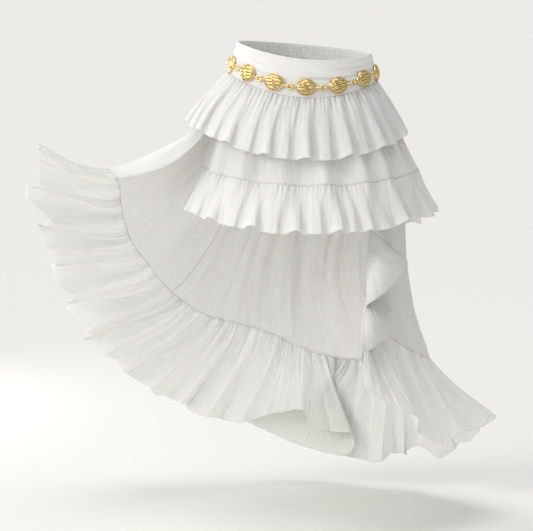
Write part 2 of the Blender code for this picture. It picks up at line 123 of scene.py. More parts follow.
def lattice_value(seed: int, column: Array, row: Array) -> Array:
    """Repeatable random number from -1 to 1 for each whole-number lattice point.

    Args:
        seed: picks one field of numbers.
        column: lattice column, whole numbers.
        row: lattice row, whole numbers.

    Returns:
        One number for each point, always the same for the same point and seed.
    """
    mixed = (column * 374761393 + row * 668265263 + seed * 974634777) & 0xFFFFFFFF
    mixed = ((mixed ^ (mixed >> 13)) * 1274126177) & 0xFFFFFFFF
    return ((mixed ^ (mixed >> 16)) & 0xFFFF) / 32767.5 - 1


def drift(seed: int, across: Array, down: Array | float = 0.0) -> Array:
    """Soft random field from -1 to 1 that changes over about one unit of either parameter.

    The four lattice numbers round a point are blended with smooth steps.

    Args:
        seed: picks one field.
        across: first parameter.
        down: second parameter.

    Returns:
        The field at those parameters.
    """
    across, down = np.broadcast_arrays(np.asarray(across, float), np.asarray(down, float))
    column, row = np.floor(across).astype(np.int64), np.floor(down).astype(np.int64)
    right, low = ease(across - column), ease(down - row)
    top = lattice_value(seed, column, row) * (1 - right) + lattice_value(seed, column + 1, row) * right
    foot = lattice_value(seed, column, row + 1) * (1 - right)
    foot = foot + lattice_value(seed, column + 1, row + 1) * right
    return top * (1 - low) + foot * low


def surface_normals(grid: Array) -> Array:
    """Outward unit normals of a grid whose rows run down and whose columns run with rising azimuth.

    They are the cross product of the step down and the step across.

    Args:
        grid: points, rows by columns by 3.

    Returns:
        One unit vector for each point.
    """
    return unit(np.cross(np.gradient(grid, axis=0), np.gradient(grid, axis=1)))


def raised(grid: Array, relief: Array) -> Array:
    """Moves each point of a grid along its outward normal by the relief there."""
    return grid + surface_normals(grid) * relief[..., None]


def run_lengths(grid: Array, axis: int) -> Array:
    """Distance travelled along one axis of a grid, from its first row or column.

    Args:
        grid: points, rows by columns by 3.
        axis: 0 to run down each column, 1 to run along each row.

    Returns:
        The distance at each point, in the grid's unit.
    """
    steps = np.linalg.norm(np.diff(grid, axis=axis), axis=-1)
    start = np.zeros((1, grid.shape[1])) if axis == 0 else np.zeros((grid.shape[0], 1))
    return np.concatenate([start, np.cumsum(steps, axis=axis)], axis=axis)


def crowded(length: float, count: int, ends: tuple[float, float]) -> Array:
    """Places from 0 to length that lie closer together near one or both ends.

    The spacing follows 1 - end * exp(-distance / 8 mm) at each end, and isn't under a twentieth.

    Args:
        length: last place.
        count: number of steps.
        ends: how much closer the places lie at the start and at the end, 0 to 0.95.

    Returns:
        count + 1 rising places.
    """
    fine = np.linspace(0, length, 800)
    spacing = 1 - ends[0] * np.exp(-fine / 8) - ends[1] * np.exp(-(length - fine) / 8)
    density = 1 / np.maximum(spacing, 0.05)
    way = np.concatenate([[0], np.cumsum((density[1:] + density[:-1]) / 2)])
    return np.interp(np.linspace(0, way[-1], count + 1), way, fine)


# ---------------------------------------------------------------- the forms that pieces follow
@dataclass(frozen=True)
class Ring:
    """A level ring of the fitted part: an ellipse that tilts with x and dips at front and back."""

    x: float
    y: float
    wide: float
    deep: float
    z: float
    tilt: float
    front: float
    back: float

    def points(self, azimuth: Array, inset: Array | float = 0.0) -> Array:
        """Points of the ring: x = middle + half width sin, y = middle - half depth cos.

        Args:
            azimuth: degrees from the front towards +X.
            inset: how far the ring is drawn in, in mm.

        Returns:
            One point for each azimuth.
        """
        turn = np.radians(azimuth)
        x = self.x + (self.wide - inset) * np.sin(turn)
        y = self.y - (self.deep - inset) * np.cos(turn)
        front = self.front * np.clip(np.cos(turn), 0, 1) ** 2
        back = self.back * np.clip(-np.cos(turn), 0, 1) ** 2
        z = self.z + self.tilt * (x - self.x) - front - back
        return np.stack([x, y, z], axis=-1)


BAND_TOP = Ring(x=3, y=0, wide=126, deep=99, z=28, tilt=-0.087, front=15, back=2)
BAND_FOOT = Ring(x=-1, y=0, wide=139, deep=109, z=-27, tilt=-0.055, front=31, back=4)
TIER1_HEM = Ring(x=-11, y=2, wide=206, deep=163, z=-127, tilt=-0.058, front=42, back=0)
YOKE_FOOT = Ring(x=15, y=0, wide=200, deep=157, z=-205, tilt=-0.012, front=14, back=0)
TIER2_HEM = Ring(x=14, y=0, wide=237, deep=194, z=-281, tilt=-0.002, front=24, back=0)


@dataclass(frozen=True)
class Folds:
    """Folds listed one by one along a seam.

    Each row is one ridge: its place along the seam, its depth, how far its crest leans along the
    seam at the hem, and how far the hem is lifted there, in mm.
    """

    rows: tuple[tuple[float, float, float, float], ...]
    round_share: float = 0.07
    valley_share: float = 0.25

    def shaped(self, grid: Array, where: Array, growth: Array) -> Array:
        """Moves a grid out at each ridge and in between ridges, by the growth of each row.

        The height is depth * (valley_share + (1 - valley_share) cos phase), where the phase turns
        once from ridge to ridge. A sideways move of round_share of the pitch times sin(2 phase)
        widens ridges and valleys, and lean and lift follow (1 + cos phase) / 2.

        Args:
            grid: points, rows by columns by 3.
            where: place of each column along the seam.
            growth: share of the full depth for each row.

        Returns:
            The folded grid.
        """
        place, depth, lean, lift = np.array(self.rows, float).T
        phase = np.interp(where, place, np.arange(len(place))) * TAU
        size = np.interp(where, place, depth)
        crest = 0.5 + 0.5 * np.cos(phase)
        across = np.gradient(grid, axis=1)
        step = np.linalg.norm(across, axis=-1, keepdims=True)
        turns = np.maximum(np.abs(np.gradient(phase)) / TAU, 1e-6)
        pitch = step / turns[:, None]
        wave = self.valley_share + (1 - self.valley_share) * np.cos(phase)
        out = surface_normals(grid) * (size * wave)[:, None]
        rounding = pitch * self.round_share * np.sin(2 * phase)[:, None]
        leaning = (np.interp(where, place, lean) * crest)[:, None]
        up = unit(np.gradient(grid, axis=0)) * -(np.interp(where, place, lift) * crest)[:, None]
        move = out + unit(across) * (rounding + leaning) + up
        return grid + growth[:, None, None] * move


@dataclass(frozen=True)
class Swells:
    """Soft random swells of the cloth: their height, and how wide and how long they are, in mm."""

    seed: int
    size: float
    wide: float
    long: float

    def height(self, along: Array, down: Array) -> Array:
        """size * drift, with the distances along and down counted in widths and lengths."""
        return self.size * drift(self.seed, along / self.wide, down / self.long)


@dataclass(frozen=True)
class Gathers:
    """The small folds that a gathering thread makes under a seam."""

    seed: int
    pitch: float = 8.5
    depth: float = 1.9
    reach: float = 28.0
    broad: float = 2.0

    def height(self, along: Array, down: Array) -> Array:
        """Height of the gathers over the surface.

        Fine folds follow cos(2 pi along / pitch) with an uneven pitch. They start at the seam and
        die out at an uneven depth, exp(-(down / reach)^1.6). Folds three times as broad take over
        below them and fade towards the hem.

        Args:
            along: distance along the seam, mm.
            down: distance below the seam, mm.

        Returns:
            The height at each point, mm.
        """
        beat = along / self.pitch
        uneven = 0.55 * drift(self.seed, beat * 0.7) + 0.25 * drift(self.seed + 1, beat / 6, down / 50)
        beat = beat + uneven
        reach = self.reach * (1 + 0.62 * drift(self.seed + 2, beat * 0.55))
        size = self.depth * (0.8 + 0.35 * drift(self.seed + 3, beat * 0.5))
        fine = size * np.cos(TAU * beat) * np.exp(-((down / reach) ** 1.6))
        fine = fine * (1 - np.exp(-down / SEAM_BITE))
        wisps = 1.3 * drift(self.seed + 6, beat * 0.9, down / 75) * ease(down / 14)
        slow = beat / 3.1 + 0.35 * drift(self.seed + 4, beat / 3.1, down / 70)
        rise = (down / 26) * np.exp(1 - down / 26)
        tail = 0.35 * ease(down / 40)
        swell = 0.75 + 0.45 * drift(self.seed + 5, beat / 4)
        return fine + wisps + self.broad * swell * np.cos(TAU * slow) * (0.65 * rise + tail)


def crinkle(seed: int, along: Array, down: Array, depth: float = 0.35) -> Array:
    """Soft lengthwise creases of crinkled voile.

    Two fields of random height, 7 and 13 mm wide and about eight times as long, are added.

    Args:
        seed: picks the creases.
        along: distance along the seam, mm.
        down: distance down the cloth, mm.
        depth: height of the largest creases, mm.

    Returns:
        The height at each point, mm.
    """
    wander = 3.0 * drift(seed, along / 60, down / 60)
    broad = drift(seed + 1, (along + wander) / 6.5, down / 95)
    fine = drift(seed + 2, (along + wander) / 3.6, down / 50)
    return depth * (0.65 * broad + 0.35 * fine)


def hem_relief(left: Array, depth: float, turning: float) -> Array:
    """Relief of a turned and stitched hem.

    The doubled cloth stands out by depth within the turning's width, with a narrow groove along its
    stitching line.

    Args:
        left: distance left to the hem, mm.
        depth: extra height of the turning, mm.
        turning: width of the turning, mm.

    Returns:
        The height at each point, mm.
    """
    doubled = depth * ease((turning + 1.2 - left) / 2.0)
    return doubled - 0.45 * ridge(left - turning, STITCH_WIDTH)


# ---------------------------------------------------------------- materials
def linear(code: str) -> tuple[float, float, float, float]:
    """Turns an sRGB hex colour into the linear values that shaders work in.

    Args:
        code: six hex digits.

    Returns:
        Linear red, green and blue, and an alpha of 1.
    """
    parts = [int(code[i:i + 2], 16) / 255 for i in (0, 2, 4)]
    lit = [p / 12.92 if p <= 0.04045 else ((p + 0.055) / 1.055) ** 2.4 for p in parts]
    return (*lit, 1.0)


def add_node(tree: bpy.types.NodeTree, kind: str, settings: dict | None = None,
             links: dict | None = None) -> bpy.types.Node:
    """Adds a node, sets its properties and inputs, and links other nodes' outputs to its inputs.

    Args:
        tree: node tree to add to.
        kind: Blender's node type name.
        settings: property name, or input name or number, to value.
        links: input name or number to the output socket that feeds it.

    Returns:
        The new node.
    """
    node = tree.nodes.new(kind)
    for key, value in (settings or {}).items():
        if isinstance(key, str) and hasattr(node, key):
            setattr(node, key, value)
        else:
            node.inputs[key].default_value = value
    for key, source in (links or {}).items():
        tree.links.new(source, node.inputs[key])
    return node


def cleared_tree(owner: bpy.types.Material | bpy.types.World) -> bpy.types.NodeTree:
    """Turns on the nodes of a material or world and takes out the default ones.

    Args:
        owner: the material or world.

    Returns:
        Its empty node tree.
    """
    owner.use_nodes = True
    owner.node_tree.nodes.clear()
    return owner.node_tree


@dataclass(frozen=True)
class CottonVoile:
    """White cotton voile, woven fine and washed so that it crinkles lengthwise.

    A matte, faintly warm white with no shine. Light comes through a single ply, so folds in front
    of a light glow and hollows stay pale.
    """

    name: str = "cotton_voile_crinkled"
    light: str = "F8F8F6"
    # shade: the greyer tone painted into the creases' valleys, painted shade
    shade: str = "EEEEEB"
    roughness: float = 0.92
    through: float = 0.36
    crinkled: float = 1.0
    crease_width: float = 0.0032
    crease_length: float = 0.030
    slub_width: float = 0.0011

    def build(self) -> bpy.types.Material:
        """Makes the material; its patterns follow the cloth's own map in metres.

        Returns:
            The material.
        """
        material = bpy.data.materials.new(self.name)
        tree = cleared_tree(material)
        cloth = add_node(tree, "ShaderNodeUVMap", {"uv_map": "cloth"}).outputs["UV"]
        # Crinkle: creases about 3 mm apart that run ten times as far down the cloth.
        stretch = (1 / self.crease_width, 1 / self.crease_length, 1.0)
        lengthwise = add_node(tree, "ShaderNodeMapping", {"Scale": stretch}, {"Vector": cloth})
        creases = add_node(tree, "ShaderNodeTexNoise",
                           {"Scale": 1.0, "Detail": 3.0, "Roughness": 0.55, "Distortion": 0.35},
                           {"Vector": lengthwise.outputs["Vector"]})
        # Weave: voile has about 0.3 mm between threads; it is drawn at 1.1 mm so that it shows.
        slub = (1 / self.slub_width, 0.7 / self.slub_width, 1.0)
        threads = add_node(tree, "ShaderNodeMapping", {"Scale": slub}, {"Vector": cloth})
        weave = add_node(tree, "ShaderNodeTexNoise", {"Scale": 1.0, "Detail": 1.0},
                         {"Vector": threads.outputs["Vector"]})
        relief = add_node(tree, "ShaderNodeBump", {"Strength": self.crinkled, "Distance": 0.0023},
                          {"Height": creases.outputs["Fac"]})
        relief = add_node(tree, "ShaderNodeBump", {"Strength": 0.22, "Distance": 0.0004},
                          {"Height": weave.outputs["Fac"], "Normal": relief.outputs["Normal"]})
        # Colour: hardly any; the creases' valleys are painted a little greyer, as painted shade.
        painted_shade_tint = add_node(tree, "ShaderNodeMix",
                        {"data_type": "RGBA", 6: linear(self.shade), 7: linear(self.light)},
                        {0: creases.outputs["Fac"]})
        face = add_node(tree, "ShaderNodeBsdfPrincipled",
                        {"Roughness": self.roughness, "Sheen Weight": 0.12, "Sheen Roughness": 0.5,
                         "Specular IOR Level": 0.25},
                        {"Base Color": painted_shade_tint.outputs[2], "Normal": relief.outputs["Normal"]})
        glow = add_node(tree, "ShaderNodeBsdfTranslucent", {"Color": linear(self.light)},
                        {"Normal": relief.outputs["Normal"]})
        mixed = add_node(tree, "ShaderNodeMixShader", {0: self.through},
                         {1: face.outputs["BSDF"], 2: glow.outputs["BSDF"]})
        add_node(tree, "ShaderNodeOutputMaterial", None, {"Surface": mixed.outputs["Shader"]})
        return material


@dataclass(frozen=True)
class GiltBrass:
    """Cast brass with a polished gilt finish: warm metal, with painted shade that darkens its hollows."""

    name: str = "gilt_brass_cast"
    bright: str = "F0D698"
    # deep: tone of the painted shade in the hollows
    deep: str = "7E5722"
    roughness: float = 0.27
    grain: float = 0.0016

    def build(self) -> bpy.types.Material:
        """Makes the material; its mottle is about 1.6 mm across and follows the piece.

        Returns:
            The material.
        """
        material = bpy.data.materials.new(self.name)
        tree = cleared_tree(material)
        place = add_node(tree, "ShaderNodeTexCoord").outputs["Object"]
        mottle = add_node(tree, "ShaderNodeTexNoise", {"Scale": 1 / self.grain, "Detail": 2.0},
                          {"Vector": place})
        # Recesses: painted shade; the hollows, found by pointiness, take the deep tone and the ridges the
        # bright one.
        height = add_node(tree, "ShaderNodeNewGeometry").outputs["Pointiness"]
        hollow_shade = add_node(tree, "ShaderNodeMapRange", {"From Min": 0.44, "From Max": 0.54}, {"Value": height})
        painted_shade_tint = add_node(tree, "ShaderNodeMix",
                        {"data_type": "RGBA", 6: linear(self.deep), 7: linear(self.bright)},
                        {0: hollow_shade.outputs["Result"]})
        rough = add_node(tree, "ShaderNodeMapRange",
                         {"From Min": 0.3, "From Max": 0.7,
                          "To Min": self.roughness + 0.08, "To Max": self.roughness - 0.06},
                         {"Value": mottle.outputs["Fac"]})
        relief = add_node(tree, "ShaderNodeBump", {"Strength": 0.25, "Distance": 0.0004},
                          {"Height": mottle.outputs["Fac"]})
        metal = add_node(tree, "ShaderNodeBsdfPrincipled", {"Metallic": 1.0},
                         {"Base Color": painted_shade_tint.outputs[2], "Roughness": rough.outputs["Result"],
                          "Normal": relief.outputs["Normal"]})
        add_node(tree, "ShaderNodeOutputMaterial", None, {"Surface": metal.outputs["BSDF"]})
        return material


@dataclass(frozen=True)
class PaperSweep:
    """Matte studio background paper, a warm off-white."""

    name: str = "background_paper_matte"
    tone: str = "DCDBD7"

    def build(self) -> bpy.types.Material:
        """Makes the material, with a faint paper tooth of about 2 mm.

        Returns:
            The material.
        """
        material = bpy.data.materials.new(self.name)
        tree = cleared_tree(material)
        place = add_node(tree, "ShaderNodeTexCoord").outputs["Object"]
        tooth = add_node(tree, "ShaderNodeTexNoise", {"Scale": 500.0, "Detail": 1.0}, {"Vector": place})
        relief = add_node(tree, "ShaderNodeBump", {"Strength": 0.05, "Distance": 0.0002},
                          {"Height": tooth.outputs["Fac"]})
        paper = add_node(tree, "ShaderNodeBsdfPrincipled",
                         {"Base Color": linear(self.tone), "Roughness": 0.95, "Specular IOR Level": 0.1},
                         {"Normal": relief.outputs["Normal"]})
        add_node(tree, "ShaderNodeOutputMaterial", None, {"Surface": paper.outputs["BSDF"]})
        return material


# ---------------------------------------------------------------- meshes
class Hold(Enum):
    """How a sheet of cloth is held."""

    GATHERED = "gathered"
    HUNG = "hung"
    FOLDED = "folded"


def mesh_from_grid(name: str, grid: Array, closed: tuple[bool, bool] = (False, False),
                   cloth_map: Array | None = None) -> bpy.types.Mesh:
    """Makes a mesh of quads from a grid of points in millimetres.

    Args:
        name: name of the mesh.
        grid: points, rows by columns by 3.
        closed: whether the last row joins the first, and the last column the first.
        cloth_map: place of each point on the flat cloth in metres, or None for no map.

    Returns:
        The mesh, in metres and shaded smooth.
    """
    rows, columns = grid.shape[:2]
    index = np.arange(rows * columns).reshape(rows, columns)
    if closed[0]:
        index = np.concatenate([index, index[:1]])
    if closed[1]:
        index = np.concatenate([index, index[:, :1]], axis=1)
    quads = np.stack([index[:-1, :-1], index[1:, :-1], index[1:, 1:], index[:-1, 1:]], axis=-1)
    mesh = bpy.data.meshes.new(name)
    mesh.from_pydata((grid.reshape(-1, 3) * MM).tolist(), [], quads.reshape(-1, 4).tolist())
    if cloth_map is not None:
        layer = mesh.uv_layers.new(name="cloth")
        corners = np.empty(len(mesh.loops), dtype=np.int32)
        mesh.loops.foreach_get("vertex_index", corners)
        layer.data.foreach_set("uv", cloth_map.reshape(-1, 2)[corners].ravel())
    mesh.shade_smooth()
    return mesh


def show(obj: bpy.types.Object, node: str) -> None:
    """Links a finished piece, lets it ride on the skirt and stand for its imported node.

    Args:
        obj: the piece.
        node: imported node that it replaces.
    """
    bpy.context.scene.collection.objects.link(obj)
    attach(obj, "root")
    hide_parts(node)
    LOG.info("piece %s: %d faces", obj.name, len(obj.data.polygons))


def hang_cloth(name: str, grid: Array, finish: bpy.types.Material,
               wall: float = 0.7) -> bpy.types.Object:
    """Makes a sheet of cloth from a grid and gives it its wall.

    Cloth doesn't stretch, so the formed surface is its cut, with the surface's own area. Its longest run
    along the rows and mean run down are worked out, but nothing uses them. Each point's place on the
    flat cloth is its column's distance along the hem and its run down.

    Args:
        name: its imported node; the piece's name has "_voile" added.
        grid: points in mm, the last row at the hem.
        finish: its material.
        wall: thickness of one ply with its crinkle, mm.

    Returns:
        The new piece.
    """
    along, down = run_lengths(grid, 1), run_lengths(grid, 0)
    cloth_map = np.stack([np.broadcast_to(along[-1:], down.shape), down], axis=-1) * MM
    mesh = mesh_from_grid(f"{name}_voile", grid, cloth_map=cloth_map)
    mesh.materials.append(finish)
    obj = bpy.data.objects.new(f"{name}_voile", mesh)
    ply = obj.modifiers.new("Ply", "SOLIDIFY")
    ply.thickness = wall * MM
    ply.offset = 0.0
    show(obj, name)
    wide, deep = float(along[:, -1].max() * MM), float(down[-1].mean() * MM)
    wide, deep = round(wide, 3), round(deep, 3)
    return obj


def shell_bevel(obj: bpy.types.Object, width: float) -> None:
    """Rounds the rim of a thick sheet.

    Args:
        obj: a piece that has its wall.
        width: width of the rounding, mm.
    """
    rim = obj.modifiers.new("Rolled edge", "BEVEL")
    rim.width = width * MM
    rim.segments = 2
    rim.limit_method = "ANGLE"
    rim.angle_limit = math.radians(55)


# ---------------------------------------------------------------- seams that pieces share
BAND_WALL = 3.6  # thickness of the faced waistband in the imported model, mm
PLY_WALL = 1.1  # thickness of one ply there
SEAM_GAP = 0.04  # between pieces that a seam joins end to end
LAYER_STEP = 1.5  # from one layer to the next where layers lie on each other
FRONT_EDGE_SEAM = 0.4  # how far the cascade's sewn edge stands off the overskirt's front edge
OUTER_PLY = -(BAND_WALL - PLY_WALL) / 2
DOWN = np.array([0.0, 0.0, -1.0])


def layer_inset(azimuth: Array, start: float, turn: float) -> Array:
    """How far in a layer is caught in the waist seam: two layers in, then one layer in.

    The yoke lies over the overskirt on one side and under it on the other, so the two change
    places. The change follows half a cosine wave.

    Args:
        azimuth: degrees from the front towards +X.
        start: azimuth at which the layer starts to come out.
        turn: degrees that the change takes.

    Returns:
        The inset at each azimuth, mm.
    """
    share = 0.5 - 0.5 * np.cos(np.clip((azimuth - start) / turn, 0, 1) * math.pi)
    return OUTER_PLY + LAYER_STEP * (2 - share)


# ---------------------------------------------------------------- waistband
@dataclass
class Waistband:
    """Contoured front band of faced cotton, and a back band shirred on rows of elastic thread."""

    finish: bpy.types.Material
    wall: float = 3.0
    front_grid: tuple[int, int] = (42, 260)
    back_grid: tuple[int, int] = (34, 560)
    shirr_pitch: float = 5.2
    shirr_depth: float = 1.05
    elastic_step: float = 9.0
    stitched: float = 5.0
    pucker_pitch: float = 8.5
    pucker_reach: float = 12.0
    swells: tuple[Swells, Swells] = (Swells(5, 0.5, 45.0, 16.0), Swells(6, 0.12, 7.0, 22.0))
    # Creases of the front: azimuth, height share, half length in degrees, half height share, depth.
    creases: tuple[tuple[float, float, float, float, float], ...] = (
        (22, 0.46, 24, 0.055, 2.6), (36, 0.62, 16, 0.05, 2.2), (8, 0.34, 15, 0.05, 1.2),
        (-22, 0.52, 16, 0.05, 0.9), (54, 0.40, 13, 0.06, 1.8), (-58, 0.45, 15, 0.06, 1.1),
        (-40, 0.30, 9, 0.04, 0.8), (12, 0.70, 12, 0.04, 1.0), (46, 0.25, 17, 0.05, 1.5),
    )

    def band(self, start: float, size: tuple[int, int]) -> tuple[Array, Array, Array, Array]:
        """Ruled surface from the top ring to the foot ring over half a turn.

        Args:
            start: azimuth of its first side seam.
            size: rows and columns.

        Returns:
            The grid, its azimuths, and its distance along and down, in mm.
        """
        gap = math.degrees(SEAM_GAP / 2 / BAND_TOP.deep)
        azimuth = np.linspace(start + gap, start + 180 - gap, size[1])
        fall = np.linspace(0, 1, size[0])[:, None, None]
        top, foot = BAND_TOP.points(azimuth), BAND_FOOT.points(azimuth)
        grid = top + (foot - top) * fall
        return grid, azimuth, run_lengths(grid, 1), run_lengths(grid, 0)

    def front(self) -> Array:
        """The front band: soft level creases, a stitched top edge and puckers over the gathers.

        A crease is a ridge with a furrow under it. Its edge stitching is a groove, and the puckers
        fade upwards from the foot.

        Returns:
            The grid, in mm.
        """
        grid, azimuth, along, down = self.band(-90, self.front_grid)
        length = down[-1]
        fall = down / length
        relief = np.zeros(grid.shape[:2])
        for middle, height, half_long, half_high, depth in self.creases:
            bend = height + 0.03 * np.sin(np.radians(azimuth - middle) * 5)
            y = (fall - bend) / half_high
            relief += depth * ridge(azimuth - middle, half_long) * (ridge(y, 1) - 0.7 * ridge(y - 1.5, 1))
        relief -= 0.35 * ridge(down - self.stitched, STITCH_WIDTH)
        relief += 0.3 * ease((self.stitched + 2 - down) / 3)
        puckers = np.cos(TAU * (along / self.pucker_pitch + 0.5 * drift(3, along / 12)))
        relief += 0.35 * puckers * ease((down - length + self.pucker_reach) / self.pucker_reach)
        relief += sum(swell.height(along, down) for swell in self.swells)
        return raised(grid, relief)

    def back(self) -> Array:
        """The back band: upright gathers with an uneven pitch, pinched at each row of elastic.

        Returns:
            The grid, in mm.
        """
        grid, _, along, down = self.band(90, self.back_grid)
        beat = along / self.shirr_pitch
        beat = beat + 0.45 * drift(11, beat * 0.8, down / 40)
        row = np.cos(TAU * down / self.elastic_step)
        pinch = 0.72 + 0.28 * row
        swell = 0.8 + 0.35 * drift(12, beat * 0.6, down / 18)
        relief = self.shirr_depth * swell * pinch * np.cos(TAU * beat) + 0.35 * row
        return raised(grid, relief * ease(down / 3.5))

    def build(self) -> None:
        """Hangs both bands."""
        for name, grid in (("waistband_front", self.front()), ("waistband_back", self.back())):
            shell_bevel(hang_cloth(name, grid, self.finish, wall=self.wall), 1.1)


# ---------------------------------------------------------------- short tiers
TIER1_FRONT_FOLDS = Folds((
    (-96, 9, 4, 0), (-86, 12, 6, 3), (-75, 7, 3, 0), (-64, 14, 8, 5), (-52, 6, 2, -2), (-41, 15, 9, 6),
    (-29, 6, 3, -1), (-18, 13, 9, 5), (-8, 6, 2, -1), (2.5, 15, 10, 4), (14, 7, 4, -2), (26, 15, 10, 6),
    (37, 6, 3, 0), (48, 14, 9, 5), (60, 7, 3, -2), (73, 14, 8, 4), (84, 8, 3, 0), (96, 12, 5, 3),
))
TIER1_BACK_FOLDS = Folds((
    (84, 8, 3, 0), (96, 12, 5, 3), (109, 7, 2, -1), (121, 14, 7, 4), (134, 6, 2, 0), (146, 13, 6, 5),
    (157, 8, 3, -2), (170, 15, 7, 5), (182, 6, 2, 0), (194, 13, 6, 3), (207, 7, 2, -1), (219, 14, 7, 5),
    (231, 7, 3, 0), (243, 12, 6, 3), (253, 6, 3, -1), (264, 9, 4, 0), (274, 12, 6, 3),
))
YOKE_FOLDS = Folds((
    (-112, 4, 0, 0), (-92, 6, 2, 0), (-68, 6, 2, 0), (-43, 9, 3, 0), (-18, 8, 2, 0), (6, 10, 3, 0),
    (29, 9, 2, 0), (44, 10, 4, 0), (62, 4, 2, 0), (88, 6, 0, 0), (116, 4, 0, 0),
), round_share=0.0)
TIER2_FOLDS = Folds((
    (-114, 8, 2, 0), (-98, 12, 5, 3), (-84, 8, 3, 0), (-68, 14, 7, 5), (-53, 13, 8, 6), (-40, 7, 3, -1),
    (-28.7, 15, 10, 6), (-18, 7, 3, -2), (-8.7, 16, 11, 5), (2, 7, 3, -2), (11.6, 15, 10, 6),
    (19, 6, 3, -2), (26.3, 14, 9, 5), (35, 7, 3, -3), (45, 19, 13, 7), (56, 8, 0, -13), (68, 14, 5, -9),
    (82, 9, 2, -6), (96, 13, 5, -2), (108, 8, 2, 0), (119, 9, 2, 0),
))


@dataclass
class RuffleTier:
    """A gathered ruffle that hangs from a seam line and flutes out to its foot ring."""

    name: str
    head: Array
    foot: Array
    azimuth: Array
    folds: Folds
    gathers: Gathers
    finish: bpy.types.Material
    carrier: str
    rows: int = 46
    bell: float = 0.25
    length: float = 105.0
    turning: float = 8.5
    hem_sway: float = 2.0
    fullness: float = 0.76
    calmed: float = 12.0

    def surface(self) -> Array:
        """The ruffle's surface.

        Its width grows with fall * (1 + bell * (1 - fall)), which springs it out under the seam.
        The folds grow with fullness * fall^1.35, and gathers, crinkle and the turned hem stand on
        them. All but the hem's turning calms down to the side seams, where two halves meet.

        Returns:
            The grid, in mm.
        """
        fall = crowded(self.length, self.rows, (0.6, 0.75)) / self.length
        flare = (fall * (1 + self.bell * (1 - fall)))[:, None, None]
        reach = self.foot - self.head
        grid = self.head + reach * fall[:, None, None]
        grid[..., :2] = self.head[:, :2] + reach[:, :2] * flare
        along = run_lengths(self.head[None], 1)
        down = run_lengths(grid, 0)
        calm = ease(np.minimum(along, along[:, -1:] - along) / self.calmed)
        sway = self.hem_sway * drift(self.gathers.seed + 9, along / 42) * calm
        grid = grid + DOWN * (sway * fall[:, None] ** 2)[..., None]
        folded = self.folds.shaped(grid, self.azimuth, self.fullness * fall**1.35)
        relief = self.gathers.height(along, down) + 0.4 * self.gathers.depth * np.exp(-down / 9)
        relief = (relief + crinkle(self.gathers.seed + 20, along * 1.6, down, 0.55)) * calm
        return raised(folded, relief + hem_relief(down[-1] - down, 0.55, self.turning))

    def build(self) -> None:
        """Hangs the ruffle."""
        hang_cloth(self.name, self.surface(), self.finish)


@dataclass
class ShortTiers:
    """First ruffle on the waist seam; under it the yoke, which carries the second ruffle."""

    finish: bpy.types.Material
    front_columns: int = 560
    back_columns: int = 420
    tier2_columns: int = 660
    yoke_rows: int = 30
    yoke_swells: Swells = Swells(65, 2.2, 19.0, 120.0)
    tier2_span: tuple[float, float] = (-108.0, 112.0)

    def first(self, name: str, start: float, columns: int, folds: Folds, seed: int) -> RuffleTier:
        """One half of the first ruffle, from side seam to side seam.

        Args:
            name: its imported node.
            start: azimuth of its first side seam.
            columns: steps along it.
            folds: its folds.
            seed: picks its gathers.

        Returns:
            The half.
        """
        gap = math.degrees(SEAM_GAP / 2 / BAND_FOOT.deep)
        azimuth = np.linspace(start + gap, start + 180 - gap, columns)
        head = BAND_FOOT.points(azimuth, OUTER_PLY) + DOWN * SEAM_GAP
        foot = TIER1_HEM.points(azimuth) + DOWN * SEAM_GAP
        carrier = "waistband_front_voile" if start < 0 else "waistband_back_voile"
        return RuffleTier(name, head, foot, azimuth, folds, Gathers(seed), self.finish, carrier,
                          rows=46 if start < 0 else 38, bell=0.42)

    def yoke(self, azimuth: Array) -> Array:
        """The yoke: a flared band with soft folds and a ridged seam at its foot.

        Its width grows with fall * (0.86 + 0.14 * fall). The folds are full three quarters of the
        way down and stay so to the seam.

        Args:
            azimuth: degrees from the front towards +X, one for each column.

        Returns:
            The grid, in mm.
        """
        fall = np.linspace(0, 1, self.yoke_rows)
        top = BAND_FOOT.points(azimuth, layer_inset(azimuth, -60, 80)) + DOWN * SEAM_GAP
        reach = YOKE_FOOT.points(azimuth) + DOWN * SEAM_GAP - top
        grid = top + reach * fall[:, None, None]
        grid[..., :2] = top[:, :2] + reach[:, :2] * (fall * (0.86 + 0.14 * fall))[:, None, None]
        along, down = run_lengths(grid[-1:], 1), run_lengths(grid, 0)
        left = down[-1] - down
        relief = crinkle(61, along, down, 0.7) * ease(down / 30)
        relief += 0.7 * ridge(left, 4) - 0.25 * ridge(left - 6, STITCH_WIDTH)
        relief += self.yoke_swells.height(along, down) * ease(down / 60) * ease(left / 20)
        return raised(YOKE_FOLDS.shaped(grid, azimuth, ease(fall / 0.75)), relief)

    def build(self) -> None:
        """Hangs the first ruffle's halves, the yoke and the second ruffle."""
        self.first("tier1_ruffle_front", -90, self.front_columns, TIER1_FRONT_FOLDS, 101).build()
        self.first("tier1_ruffle_back", 90, self.back_columns, TIER1_BACK_FOLDS, 131).build()
        azimuth = np.linspace(*self.tier2_span, self.tier2_columns)
        yoke = self.yoke(azimuth)
        hang_cloth("tier2_yoke", yoke, self.finish)
        head = yoke[-1] + DOWN * SEAM_GAP
        foot = TIER2_HEM.points(azimuth) + DOWN * (2 * SEAM_GAP)
        gathers = Gathers(171, pitch=9.0, depth=1.5, reach=16.0, broad=1.6)
        RuffleTier("tier2_ruffle", head, foot, azimuth, TIER2_FOLDS, gathers, self.finish,
                   "tier2_yoke_voile", rows=40, bell=0.1, length=85.0).build()


